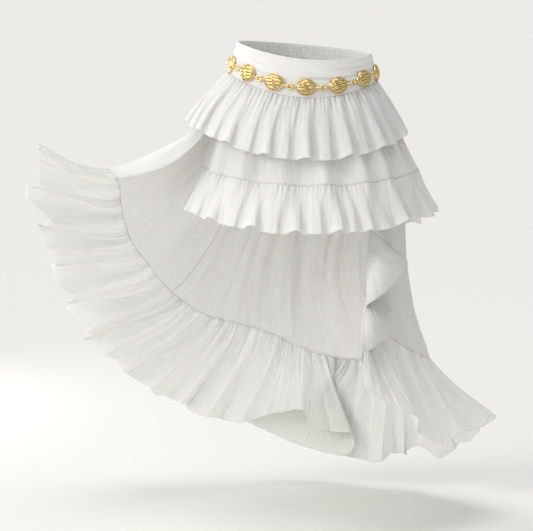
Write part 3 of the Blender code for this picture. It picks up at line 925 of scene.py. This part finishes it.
# ---------------------------------------------------------------- overskirt
# u runs along the flounce seam from the free left edge, round the back, to the right front edge.
# Each row: u, azimuth at the waist, then points (x, y, z) at the hip, half way, seam and hem.
TRAIN = (
    (0.000, -84, (-197, -38, -143), (-241, -48, -183), (-352, -32, -219), (-499, -100, -152)),
    (0.020, -88, (-209, -12, -128), (-266, -20, -160), (-375, -12, -201), (-501, -86, -156)),
    (0.045, -93, (-203, 22, -150), (-255, 14, -192), (-354, 6, -230), (-506, -65, -188)),
    (0.090, -100, (-188, 50, -160), (-268, 50, -228), (-350, 40, -275), (-512, -36, -247)),
    (0.160, -112, (-169, 78, -172), (-250, 95, -286), (-335, 95, -351), (-500, 18, -344)),
    (0.230, -124, (-140, 102, -178), (-220, 140, -337), (-303, 145, -408), (-479, 88, -441)),
    (0.300, -136, (-105, 120, -181), (-181, 170, -375), (-257, 190, -473), (-427, 155, -551)),
    (0.370, -148, (-68, 130, -183), (-138, 195, -399), (-194, 222, -522), (-346, 218, -650)),
    (0.440, -160, (-29, 136, -183), (-90, 210, -415), (-123, 243, -546), (-232, 252, -720)),
    (0.510, -172, (12, 138, -183), (-40, 218, -427), (-48, 253, -572), (-112, 262, -748)),
    (0.535, -175, (27, 138, -183), (-20, 219, -431), (-22, 254, -585), (-45, 246, -729)),
    (0.560, -178, (42, 138, -183), (-4, 219, -434), (4, 253, -597), (2, 236, -729)),
    (0.575, 180, (50, 137, -183), (6, 218, -436), (18, 252, -603), (22, 231, -750)),
    (0.590, 178, (58, 136, -183), (17, 217, -438), (31, 251, -607), (62, 229, -758)),
    (0.605, 175, (66, 135, -182), (28, 215, -439), (46, 249, -611), (102, 236, -770)),
    (0.618, 173, (73, 134, -182), (37, 213, -440), (56, 248, -613), (110, 250, -798)),
    (0.630, 171, (79, 133, -182), (45, 211, -441), (66, 246, -615), (80, 268, -818)),
    (0.643, 169, (86, 131, -182), (53, 209, -441), (76, 244, -616), (-10, 282, -797)),
    (0.656, 166, (93, 129, -182), (62, 205, -441), (86, 241, -617), (-104, 288, -757)),
    (0.670, 163, (100, 126, -182), (74, 201, -441), (97, 237, -618), (-56, 303, -773)),
    (0.690, 159, (110, 122, -182), (88, 195, -441), (113, 230, -618), (50, 300, -812)),
    (0.715, 153, (122, 115, -181), (108, 184, -441), (138, 215, -618), (122, 264, -832)),
    (0.740, 146, (134, 105, -180), (127, 167, -439), (162, 197, -616), (166, 246, -834)),
    (0.765, 139, (145, 95, -179), (146, 148, -436), (186, 176, -614), (200, 236, -814)),
    (0.785, 133, (152, 84, -178), (160, 130, -432), (203, 155, -610), (224, 224, -802)),
    (0.810, 125, (160, 70, -176), (174, 108, -426), (222, 126, -604), (276, 162, -796)),
    (0.860, 110, (168, 40, -173), (190, 58, -412), (243, 62, -591), (340, 72, -738)),
    (0.910, 92, (166, -5, -171), (191, -5, -397), (246, -12, -574), (361, -22, -683)),
    (0.950, 72, (150, -55, -171), (175, -72, -374), (218, -70, -550), (306, -108, -697)),
    (0.976, 59, (135, -80, -174), (154, -108, -357), (172, -112, -517), (240, -160, -698)),
    (0.983, 56, (130, -87, -174), (146, -116, -352), (156, -124, -504), (211, -173, -678)),
    (0.990, 52, (124, -92, -175), (138, -124, -348), (138, -136, -490), (210, -193, -651)),
    (1.000, 47, (116, -99, -176), (122, -137, -341), (112, -148, -472), (172, -220, -625)),
)
CUTS = (0.0, 0.30, 0.725, 1.0)  # u of the overskirt's panel seams
CUT_NAMES = ("left", "back", "right")
FLOUNCE_DEPTH = 175.0
# Folds of the flounce and of the panels: u of the ridge, depth, lean and lift.
FLOUNCE_FOLDS = Folds((
    (0.0, 4, 0, 0), (0.042, 10, 4, 0), (0.098, 21, 15, 0), (0.155, 22, 14, 0), (0.183, 7, 4, 0),
    (0.217, 17, 11, 0), (0.272, 22, 15, 0), (0.316, 19, 15, 0), (0.343, 8, 4, 0), (0.375, 19, 10, 0),
    (0.418, 12, 5, 0), (0.446, 17, 9, 0), (0.487, 9, 5, 0), (0.53, 10, 4, 0), (0.587, 13, -6, 0),
    (0.62, 3, 0, 0), (0.68, 4, 0, 0), (0.722, 9, 3, 0), (0.758, 15, 6, 0), (0.792, 9, 3, 0),
    (0.826, 17, 8, 0), (0.862, 8, 3, 0), (0.892, 16, 7, 0), (0.926, 9, 4, 0), (0.955, 10, 3, 0),
    (0.982, 4, 0, 0), (1.0, 2, 0, 0),
), round_share=0.05)
# Scallops of the flounce's hem: u, and how far the hem reaches past its smooth line, mm.
HEM_REACH = (
    (0.0, 0), (0.03, -4), (0.078, -10), (0.091, 9), (0.108, 3), (0.127, -24), (0.142, -17), (0.150, 2),
    (0.168, -2), (0.190, -19), (0.206, -8), (0.232, -2), (0.243, -17), (0.258, -17), (0.269, 1),
    (0.290, -3), (0.302, -5), (0.309, 13), (0.330, 0), (0.352, -9), (0.366, 2), (0.392, -7), (0.405, 4),
    (0.432, -8), (0.447, 3), (0.475, -4), (0.51, 2), (0.545, -2), (0.563, -9), (0.578, 8),
    (0.598, 3), (0.608, -6), (0.62, 0), (0.70, 0), (0.722, -3), (0.738, -9),
    (0.752, -7), (0.772, 2), (0.79, -8), (0.812, 5), (0.835, -9), (0.85, 3), (0.872, -7), (0.888, 5),
    (0.91, -6), (0.932, 4), (0.955, -3), (0.975, 2), (1.0, 0),
)
PANEL_FOLDS = Folds((
    (0.0, 0, 0, 0), (0.10, 5, 0, 0), (0.19, 9, 0, 0), (0.27, 8, 0, 0), (0.36, 13, 0, 0), (0.43, 9, 0, 0),
    (0.50, 13, 0, 0), (0.56, 9, 0, 0), (0.63, 12, 0, 0), (0.69, 8, 0, 0), (0.76, 11, 0, 0),
    (0.83, 8, 0, 0), (0.90, 7, 0, 0), (0.96, 3, 0, 0), (1.0, 0, 0, 0),
), round_share=0.0)


def strands(stations: Array, rows: Array, trims: tuple[float, float] = (0.0, 0.0)) -> Array:
    """Cubic Hermite curves through the stations, one for each column.

    Knots are the chord lengths, and each inner slope is the mean of the chords before and after it,
    weighted by the other's length.

    Args:
        stations: rings of points from top to foot, stations by columns by 3.
        rows: station number and fraction at which each row lies.
        trims: mm cut off at the first and the last row.

    Returns:
        The grid, rows by columns by 3.
    """
    chord = np.linalg.norm(np.diff(stations, axis=0), axis=-1)[..., None]
    straight = np.diff(stations, axis=0) / chord
    inner = (chord[:-1] * straight[1:] + chord[1:] * straight[:-1]) / (chord[:-1] + chord[1:])
    slope = np.concatenate([straight[:1], inner, straight[-1:]])
    first = np.clip(np.floor(rows).astype(int), 0, len(stations) - 2)
    span = chord[first]
    t = np.broadcast_to((rows - first)[:, None, None], span.shape).copy()
    t[0] += trims[0] / span[0]
    t[-1] -= trims[1] / span[-1]
    return hermite(t, span, (stations[first], stations[first + 1]), (slope[first], slope[first + 1]))


def parted(grid: Array, low: int, high: int) -> Array:
    """The columns from low to high, drawn in by half a seam gap at ends that are cut.

    Args:
        grid: the whole overskirt's points.
        low: first column.
        high: last column.

    Returns:
        The piece's grid.
    """
    piece = grid[:, low:high + 1].copy()
    for end, inner, is_cut in ((0, 1, low > 0), (-1, -2, high < grid.shape[1] - 1)):
        if is_cut:
            piece[:, end] += unit(piece[:, inner] - piece[:, end]) * SEAM_GAP / 2
    return piece


@dataclass
class Overskirt:
    """Long overskirt of three panels, each with its length of gathered flounce."""

    finish: bpy.types.Material
    flounce_finish: bpy.types.Material
    panel_rows: tuple[int, int, int] = (26, 40, 26)
    panel_columns: int = 470
    flounce_rows: int = 36
    flounce_columns: int = 1240
    turning: float = 8.5
    panel_swells: tuple[Swells, Swells] = (Swells(201, 9.5, 34.0, 260.0), Swells(203, 2.3, 13.0, 140.0))
    flounce_swells: Swells = Swells(255, 4.5, 26.0, 200.0)
    flounce_gathers: Gathers = Gathers(241, pitch=10.5, depth=2.7, reach=42.0, broad=3.4)

    def stations(self, u: Array) -> Array:
        """Points of the overskirt's rings at these places along it.

        Args:
            u: places from the free left edge to the right front edge.

        Returns:
            The waist, hip, half-way, seam and hem points, 5 by places by 3.
        """
        row_u = [row[0] for row in TRAIN]
        turned = [row[1] if row[1] > 0 else row[1] + 360 for row in TRAIN]
        azimuth = smooth(row_u, turned, u)
        waist = BAND_FOOT.points(azimuth, layer_inset(azimuth, 200, 60)) + DOWN * SEAM_GAP
        return np.stack([waist] + [smooth(row_u, [row[i] for row in TRAIN], u) for i in range(2, 6)])

    def front_line(self, rows: Array, trims: tuple[float, float]) -> tuple[Array, Array]:
        """The line of the right front edge, and the way out past it.

        Args:
            rows: station number and fraction of each point.
            trims: mm cut off at the first and the last point.

        Returns:
            The points and the unit directions.
        """
        inner, edge = strands(self.stations(np.array([0.985, 1.0])), rows, trims).transpose(1, 0, 2)
        return edge, unit(edge - inner)

    def places(self, count: int) -> tuple[Array, list[int]]:
        """Places along the overskirt, evenly apart on the cloth, that include every cut.

        Args:
            count: number of steps.

        Returns:
            The places and the index of each cut.
        """
        even = np.linspace(0, 1, 3000)
        rings = self.stations(even)[3:]
        step = np.linalg.norm(np.diff(rings, axis=1), axis=-1).max(axis=0)
        way = np.concatenate([[0], np.cumsum(step)])
        u = np.interp(np.linspace(0, way[-1], count + 1), way, even)
        for cut in CUTS[1:-1]:
            u[np.abs(u - cut).argmin()] = cut
        return u, [int(np.abs(u - cut).argmin()) for cut in CUTS]

    def folded(self, grid: Array, u: Array, folds: Folds, growth: Array) -> Array:
        """Folds a grid whose columns run against the azimuth, so it is turned round and back."""
        return folds.shaped(grid[:, ::-1], u[::-1], growth)[:, ::-1]

    def panels(self, u: Array) -> Array:
        """The panels: a loft from the waist to the flounce seam with soft folds and creases.

        The folds grow as sin^1.5 of the way down. Swells and crinkle fade at the seams.

        Args:
            u: place of each column along the overskirt.

        Returns:
            The grid, in mm.
        """
        rows = [np.linspace(i, i + 1, n, endpoint=False) for i, n in enumerate(self.panel_rows)]
        rows = np.append(np.concatenate(rows), 3.0)
        grid = strands(self.stations(u), rows, (0.0, SEAM_GAP / 2))
        fall = np.interp(rows, [0, 1, 2, 3], [0, 2 / 7, 5 / 7, 1])
        growth = np.sin(math.pi * np.clip((fall - 0.1) / 0.9, 0, 1)) ** 1.5
        grid = self.folded(grid, u, PANEL_FOLDS, growth)
        along, down = run_lengths(grid[-1:], 1), run_lengths(grid, 0)
        left = down[-1] - down
        calm = ease(along / 60) * ease((along[:, -1:] - along) / 40)
        broad, narrow = (swells.height(along, down) for swells in self.panel_swells)
        relief = broad * ease(down / 90) * ease(left / 40) * calm
        relief += narrow * ease(down / 40) * ease(left / 18)
        relief += crinkle(206, along, down, 1.2) * ease(down / 20)
        relief += 0.45 * ease((6 - left) / 2) - 0.35 * ridge(left - 3, 1.0)
        return raised(grid, -relief)

    def flounces(self, u: Array) -> Array:
        """The flounce: gathers under the seam that open into flutes and a swaying hem.

        The sway grows with fall^2.2 and the folds with fall^1.15.

        Args:
            u: place of each column along the overskirt.

        Returns:
            The grid, in mm.
        """
        fall = crowded(FLOUNCE_DEPTH, self.flounce_rows, (0.6, 0.8)) / FLOUNCE_DEPTH
        grid = strands(self.stations(u), 3 + fall, (SEAM_GAP / 2, 0.0))
        along, down = run_lengths(grid[:1], 1), run_lengths(grid, 0)
        knots, reach = np.array(HEM_REACH, float).T
        sway = np.interp(u, knots, reach) + 1.5 * drift(232, along / 11)
        outward = unit(np.gradient(grid, axis=0))
        grid = grid + outward * (sway * fall[:, None] ** 2.2)[..., None]
        grid = self.folded(grid, u, FLOUNCE_FOLDS, fall**1.15)
        relief = self.flounce_gathers.height(along, down) + crinkle(251, along * 1.4, down, 1.3)
        relief += self.flounce_swells.height(along, down) * fall[:, None]
        relief += hem_relief(down[-1] - down, 0.55, self.turning)
        return raised(grid, -relief)

    def build(self) -> None:
        """Hangs the three panels and the three lengths of flounce."""
        for part, shape, count, held, finish in (
                ("panel", self.panels, self.panel_columns, Hold.HUNG, self.finish),
                ("flounce", self.flounces, self.flounce_columns, Hold.GATHERED, self.flounce_finish)):
            u, splits = self.places(count)
            grid = shape(u)
            for side, low, high in zip(CUT_NAMES, splits, splits[1:]):
                hang_cloth(f"train_{part}_{side}", parted(grid, low, high), finish)


# ---------------------------------------------------------------- cascade on the front edge
# Height of the sewn edge on the panel's front edge, then the free edge (x, y, z).
CASCADE = (
    (-472, (172, -220, -625)),
    (-466, (134, -214, -608)),
    (-459, (114, -206, -585)),
    (-452, (135, -182, -567)),
    (-446, (119, -196, -553)),
    (-438, (107, -204, -535)),
    (-423, (138, -196, -509)),
    (-408, (169, -148, -490)),
    (-401, (135, -164, -464)),
    (-393, (167, -104, -462)),
    (-381, (116, -180, -443)),
    (-355, (156, -178, -411)),
    (-325, (195, -116, -371)),
    (-297, (165, -122, -337)),
    (-268, (154, -122, -303)),
    (-236, (142, -114, -260)),
    (-205, (134, -112, -212)),
)


@dataclass
class Cascade:
    """Narrow flounce that runs on up the right front edge and falls in loose turns."""

    finish: bpy.types.Material
    overskirt: Overskirt
    rows: int = 36
    columns: int = 460
    edge_rows: int = 90
    breadth: float = 90.0
    lift: float = SEAM_GAP * 1.5 / 400
    joined_from: float = -464.0
    gathers: Gathers = Gathers(301, pitch=11.0, depth=0.5, reach=14.0, broad=0.7)

    def sewn_edge(self, height: Array) -> Array:
        """Points at these heights, a seam's width out from the overskirt's front edge.

        Args:
            height: z of each point, mm.

        Returns:
            The points.
        """
        line, out = self.overskirt.front_line(np.linspace(0, 3, self.edge_rows), (0.0, SEAM_GAP / 2))
        level = line[::-1, 2]
        point, away = (np.stack([np.interp(height, level, item[::-1, i]) for i in range(3)], -1)
                       for item in (line, out))
        return point + away * FRONT_EDGE_SEAM

    def surface(self) -> Array:
        """A ruled strip from the sewn edge to the free edge, bowed down on the way.

        The bow is 4 * share * (1 - share) of a fifth of the width. At its foot the strip turns into
        the line of the flounce's front edge. Gathers, crinkle and the hem's turning stand on it and
        fade where it is narrow.

        Returns:
            The grid, in mm; its rows run from the sewn edge to the free edge.
        """
        places = np.linspace(self.lift, 1, self.columns)
        knots = np.linspace(0, 1, len(CASCADE))
        height, free = (smooth(knots, [row[i] for row in CASCADE], places) for i in range(2))
        sewn = self.sewn_edge(np.minimum(height, CASCADE[-1][0]))
        share = (crowded(self.breadth, self.rows, (0.5, 0.8)) / self.breadth)[:, None, None]
        width = np.linalg.norm(free - sewn, axis=-1)[:, None]
        bow = width * np.array([0, -0.18, 0.05]) * 4 * share * (1 - share)
        grid = sewn + (free - sewn) * share + bow
        edge, out = self.overskirt.front_line(3 + share[:, 0, 0], (SEAM_GAP, 0.0))
        front = (edge + out * FRONT_EDGE_SEAM)[:, None]
        joined = ease((self.joined_from - height) / (self.joined_from - CASCADE[0][0]))[:, None]
        grid = grid + (front - grid) * joined
        along = np.broadcast_to(run_lengths(free[None], 1), grid.shape[:2])
        down = run_lengths(grid, 0)
        relief = self.gathers.height(along, down) + crinkle(311, along, down, 0.35)
        relief += hem_relief(down[-1] - down, 0.5, 7.0)
        return raised(grid, relief * ease(width[:, 0] / 25))

    def build(self) -> None:
        """Hangs the cascade."""
        hang_cloth("front_edge_cascade", self.surface(), self.finish)


# ---------------------------------------------------------------- belt
@dataclass
class ChainBelt:
    """Thirteen shell-ribbed medallions in a closed chain, a ring between each two and a hook behind."""

    finish: bpy.types.Material
    medallions: int = 13
    front_medallion: float = 1.8
    size: tuple[float, float, float] = (40.0, 32.4, 7.0)
    back: float = 1.6
    eye_radius: float = 3.4
    eye_wire: float = 1.15
    eye_taper: float = 2.3
    ring_radius: float = 4.6
    ring_wire: float = 1.6
    link_gap: float = 0.3
    chain_share: tuple[float, float] = (0.74, 0.65)
    standoff: tuple[float, float] = (5.0, 7.8)
    ribs: float = 2.4
    rib_depth: float = 2.1
    pointed: float = 0.16

    def line(self, azimuth: Array) -> Array:
        """Line of the ring middles, low on the waistband and clear of its face.

        The share of the band's height and the distance from it both change with sin^2 azimuth.

        Args:
            azimuth: degrees from the front towards +X.

        Returns:
            One point for each azimuth, mm.
        """
        side = np.sin(np.radians(azimuth)) ** 2
        out = -(BAND_WALL / 2 + self.standoff[0] + (self.standoff[1] - self.standoff[0]) * side)
        top, foot = BAND_TOP.points(azimuth, out), BAND_FOOT.points(azimuth, out)
        share = self.chain_share[0] + (self.chain_share[1] - self.chain_share[0]) * side
        return top + (foot - top) * share[:, None]

    def corners(self) -> tuple[Array, Array]:
        """Ring middles, moved along the line until all chords are equal.

        Returns:
            Their azimuths and their points, mm.
        """
        azimuth = np.linspace(self.front_medallion - 180, self.front_medallion + 180, 1441)
        way = np.concatenate([[0], np.cumsum(np.linalg.norm(np.diff(self.line(azimuth), axis=0), axis=1))])
        share = np.full(self.medallions, 1 / self.medallions)
        for _ in range(12):
            place = np.concatenate([[0], np.cumsum(share)])[:-1] * way[-1]
            middle = np.interp(self.front_medallion, azimuth, way)
            nearest = place[self.medallions // 2] + share[self.medallions // 2] * way[-1] / 2
            turn = np.interp((place + middle - nearest) % way[-1], way, azimuth)
            corner = self.line(turn)
            chord = np.linalg.norm(np.roll(corner, -1, axis=0) - corner, axis=1)
            share = share * chord.mean() / chord
            share = share / share.sum()
        return turn, corner

    def upright(self, azimuth: float) -> Array:
        """Unit vector up the slope of the waistband at this azimuth."""
        turn = np.array([azimuth])
        return unit(BAND_TOP.points(turn) - BAND_FOOT.points(turn))[0]

    def dome(self) -> Array:
        """The medallion's shell, as rows from the middle of its face to the middle of its back.

        The face is a dome of 0.86 rise (1 - (r / 1.02)^2)^0.6 inside a groove and a raised rim.
        Ribs run lengthwise: their phase is the place between the two long edges,
        y / sqrt(1 - x^2), with a slow wave along x, so they meet at both ends. The outline narrows
        by pointed * x^2 towards its ends, and the back is flat.

        Returns:
            The grid, in mm, closed along its columns.
        """
        length, height, rise = self.size
        turn = np.arange(72) * TAU / 72
        r = np.concatenate([np.linspace(0, 0.84, 20), np.linspace(0.86, 1.0, 10)])[:, None]
        x, y = r * np.cos(turn), r * np.sin(turn)
        lune = y / np.sqrt(np.maximum(1 - x * x, 0.02))
        wave = 0.20 * np.sin(x * 3.4 + 1.7 * lune) + 0.06 * np.sin(x * 9 + 5 * lune)
        ribs = np.abs(np.cos(math.pi * self.ribs * (lune - 0.16 * x + wave))) ** 0.6
        inside = ease((0.84 - r) / 0.12) * ease((1 - np.abs(x)) / 0.25)
        face = rise * 0.86 * (1 - (r / 1.02) ** 2) ** 0.6 + self.rib_depth * (ribs - 0.5) * inside
        face = face - 0.6 * ridge(r - 0.86, 0.022) + 0.55 * ridge(r - 0.935, 0.045)
        face = np.where(r > 0.999, np.minimum(face, 0.6), face)
        slim = 1 - self.pointed * x * x
        top = np.stack([x * length / 2, y * slim * height / 2, face], axis=-1)
        edge = top[-1] * np.array([1.0, 1.0, 0.0])
        side = edge * 0.985 - np.array([0, 0, self.back])
        under = side * np.array([0.5, 0.5, 1.0])
        heel = side * np.array([0.0, 0.0, 1.0])
        return np.concatenate([top, edge[None], side[None], under[None], heel[None]])

    def torus(self, radius: float, wire: float, around: int = 40, across: int = 14) -> Array:
        """A wire ring in the plane of x and y: radius + wire cos(roll), turned round.

        Args:
            radius: radius of the wire's middle line, mm.
            wire: radius of the wire, mm.
            around: points round the ring.
            across: points round the wire.

        Returns:
            The grid, in mm, closed both ways.
        """
        turn = (np.arange(around) * TAU / around)[None, :]
        roll = -(np.arange(across) * TAU / across)[:, None]
        reach = radius + wire * np.cos(roll)
        lift = np.broadcast_to(wire * np.sin(roll), (across, around))
        return np.stack([reach * np.cos(turn), reach * np.sin(turn), lift], axis=-1)

    def eyes(self, chord: float) -> list[Array]:
        """The two eyes, tapered towards the medallion and standing edge-on to the viewer.

        Args:
            chord: distance between neighbouring ring middles, mm.

        Returns:
            Their grids, in mm, closed both ways.
        """
        inner = self.eye_radius - self.eye_wire
        reach = chord / 2 - self.ring_radius + self.ring_wire + self.link_gap - inner
        made = []
        for side in (-1.0, 1.0):
            eye = self.torus(self.eye_radius, self.eye_wire, 32, 12)
            eye[..., 0] = np.where(eye[..., 0] < 0, eye[..., 0] * self.eye_taper, eye[..., 0])
            x, y, z = eye[..., 0], eye[..., 1], eye[..., 2]
            made.append(np.stack([side * (x + reach), -side * z, y], axis=-1))
        return made

    def hook(self) -> Array:
        """An open ring whose mouth faces the waistband, with rounded ends.

        The wire is carried along an arc that leaves out the mouth, and its ends shrink as a circle.

        Returns:
            The grid, in mm, closed round the wire.
        """
        mouth = math.asin((self.eye_wire + self.ring_wire + 0.2) / self.ring_radius)
        tip = np.array([0, 0.002, 0.008, 0.02])
        share = np.concatenate([tip, np.linspace(0.04, 0.96, 40), 1 - tip[::-1]])
        turn = (1.5 * math.pi + mouth + (TAU - 2 * mouth) * share)[:, None]
        end = np.clip(np.minimum(share, 1 - share) / 0.03, 0, 1)
        wire = (self.ring_wire * np.sqrt(1 - (1 - end) ** 2))[:, None]
        roll = (np.arange(14) * TAU / 14)[None, :]
        reach = self.ring_radius + wire * np.cos(roll)
        return np.stack([reach * np.cos(turn), reach * np.sin(turn), wire * np.sin(roll)], axis=-1)

    def cast(self, name: str, shells: list[Array], kinds: list[tuple[bool, bool]], middle: Array,
             along: Array, up: Array) -> None:
        """Puts shells made in the chain's axes (x along, y up, z outward) at their place.

        Args:
            name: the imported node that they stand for.
            shells: grids in mm.
            kinds: whether each grid's rows and columns are closed.
            middle: their place, mm.
            along: unit vector along the chain.
            up: a vector up the band.
        """
        up = unit(up - along * (up @ along))
        axes = np.stack([along, up, np.cross(along, up)])
        work = bmesh.new()
        for grid, closed in zip(shells, kinds):
            part = mesh_from_grid("shell", grid @ axes + middle, closed)
            work.from_mesh(part)
            bpy.data.meshes.remove(part)
        bmesh.ops.remove_doubles(work, verts=work.verts, dist=2e-6)
        bmesh.ops.recalc_face_normals(work, faces=work.faces)
        mesh = bpy.data.meshes.new(f"{name}_gilt")
        work.to_mesh(mesh)
        work.free()
        mesh.shade_smooth()
        mesh.materials.append(self.finish)
        show(bpy.data.objects.new(f"{name}_gilt", mesh), name)

    def build(self) -> None:
        """Casts the medallions, the rings and the hook in their places."""
        azimuth, corner = self.corners()
        ahead = np.roll(corner, -1, axis=0)
        chord = float(np.linalg.norm(ahead - corner, axis=1).mean())
        shells = [self.dome()] + self.eyes(chord)
        kinds = [(False, True), (True, True), (True, True)]
        way = unit(ahead - corner)
        for number in range(self.medallions):
            middle = (corner[number] + ahead[number]) / 2
            slope = self.upright(math.degrees(math.atan2(middle[0], -middle[1])))
            self.cast(f"medallion_{number + 1:02d}", shells, kinds, middle, way[number], slope)
            along = unit(way[number] + way[number - 1])
            up = self.upright(float(azimuth[number]))
            out = np.cross(along, unit(up - along * (up @ along)))
            half = math.acos(float(np.clip(way[number] @ way[number - 1], -1, 1))) / 2
            place = corner[number] - out * self.ring_radius * math.tan(half)
            if number == 0:
                self.cast("belt_hook", [self.hook()], [(False, True)], place, along, up)
            else:
                ring = self.torus(self.ring_radius, self.ring_wire)
                self.cast(f"belt_ring_{number:02d}", [ring], [(True, True)], place, along, up)


# ---------------------------------------------------------------- studio
@dataclass
class Studio:
    """Pale paper floor, soft lamps at the upper left, overhead, in front and behind, two low panels
    at the left, and even light from all round."""

    floor_level: float = -0.885
    floor_radius: float = 70.0
    sky: str = "FCFDFF"
    wall: str = "F0EFEB"
    sky_strength: float = 0.515
    # Each lamp: name, strength, softness, azimuth and height in degrees, and tone.
    lamps: tuple[tuple[str, float, float, float, float, str], ...] = (
        ("key_softbox", 1.06, 20, -64, 28, "FFFDF9"),
        ("top_softbox", 1.06, 36, -20, 78, "FFFFFF"),
        ("front_fill", 0.24, 60, -30, 10, "FBFCFF"),
        ("back_softbox", 0.90, 40, -128, 36, "FFFFFF"),
    )
    # Each panel: name, power, side, place and aim.
    panels: tuple[tuple[str, float, float, tuple[float, float, float], tuple[float, float, float]], ...] = (
        ("low_softbox", 7.0, 1.4, (-1.5, -1.9, 0.1), (-0.35, 0.0, -0.45)),
        ("wing_softbox", 18.0, 0.7, (-1.5, 1.2, -0.74), (-0.35, 0.1, -0.45)),
    )
    eye: tuple[float, float, float] = (-0.0694, -5.6214, 0.4492)
    pitch: float = 8.5
    lens: float = 200.0

    def floor(self) -> None:
        """A disc of background paper."""
        bpy.ops.mesh.primitive_circle_add(vertices=96, radius=self.floor_radius, fill_type="NGON")
        floor = bpy.context.object
        floor.name = "studio_floor"
        floor.data.transform(Matrix.Translation((0, 0, self.floor_level)))
        floor.data.materials.append(PaperSweep().build())

    def lamp(self, name: str, kind: str, energy: float) -> bpy.types.Object:
        """Hangs a lamp in the studio.

        Args:
            name: name of the lamp.
            kind: Blender's light type.
            energy: its strength, or a panel's power in watts.

        Returns:
            Its object, still at the origin.
        """
        data = bpy.data.lights.new(name, kind)
        data.energy = energy
        holder = bpy.data.objects.new(name, data)
        bpy.context.scene.collection.objects.link(holder)
        return holder

    def lights(self) -> None:
        """The soft lamps and the even light from all round."""
        world = bpy.data.worlds.new("studio_light_tent")
        tree = cleared_tree(world)
        sky = add_node(tree, "ShaderNodeBackground",
                       {"Color": linear(self.sky), "Strength": self.sky_strength})
        wall = add_node(tree, "ShaderNodeBackground", {"Color": linear(self.wall)})
        # The camera sees the wall's tone past the floor's far edge, and the sky lights the cloth.
        path = add_node(tree, "ShaderNodeLightPath")
        seen = add_node(tree, "ShaderNodeMixShader", None,
                        {0: path.outputs["Is Camera Ray"], 1: sky.outputs["Background"],
                         2: wall.outputs["Background"]})
        add_node(tree, "ShaderNodeOutputWorld", None, {"Surface": seen.outputs["Shader"]})
        bpy.context.scene.world = world
        for name, strength, softness, azimuth, height, tone in self.lamps:
            holder = self.lamp(name, "SUN", strength)
            holder.data.color = linear(tone)[:3]
            holder.data.angle = math.radians(softness)
            holder.rotation_euler = (math.radians(90 - height), 0, math.radians(azimuth))
        for name, power, side, place, aim in self.panels:
            holder = self.lamp(name, "AREA", power)
            holder.data.size = side
            holder.location = place
            holder.rotation_euler = (Vector(aim) - Vector(place)).to_track_quat("-Z", "Y").to_euler()
            holder.visible_camera = False

    def camera(self) -> None:
        """A long lens that looks along +Y and a little down."""
        view = bpy.data.cameras.new("camera")
        view.lens = self.lens
        view.sensor_width = 36.0
        view.clip_end = 200.0
        camera = bpy.data.objects.new("camera", view)
        camera.location = self.eye
        camera.rotation_euler = (math.radians(90 - self.pitch), 0, 0)
        bpy.context.scene.collection.objects.link(camera)
        bpy.context.scene.camera = camera

    def build(self) -> None:
        """Sets up the camera, the floor and the lights."""
        self.camera()
        self.floor()
        self.lights()
        bpy.context.scene.view_settings.view_transform = "Standard"


def main() -> None:
    """Builds the studio, then every piece of the skirt."""
    logging.basicConfig(level=logging.INFO, format="%(name)s: %(message)s")
    Studio().build()
    voile = CottonVoile().build()
    gilt = GiltBrass().build()
    # The faced band's tones are a little darker than the tiers' voile: painted shade; its lower
    # translucency and crinkle are real.
    faced = CottonVoile("cotton_faced_smooth_shaded", "F4F4F2", "ECECE9", through=0.20, crinkled=0.35).build()
    # The overskirt's and the cascade's tones are a little warmer, their own colour, and a little darker,
    # painted shade for the train's hollow and the cascade.
    shaded_panel_voile = CottonVoile("cotton_voile_overskirt_warm_shaded", "F7F6F4", "EDECE9").build()
    # The flounce's tones are lighter than the tiers' voile: painted light; its greater translucency is
    # real.
    lit_flounce_voile = CottonVoile("cotton_voile_flounce_lit", "FCFCFA", "F4F4F1", through=0.40).build()
    Waistband(faced).build()
    ShortTiers(voile).build()
    overskirt = Overskirt(shaded_panel_voile, lit_flounce_voile)
    overskirt.build()
    Cascade(shaded_panel_voile, overskirt).build()
    ChainBelt(gilt).build()


if __name__ == "__main__":
    main()
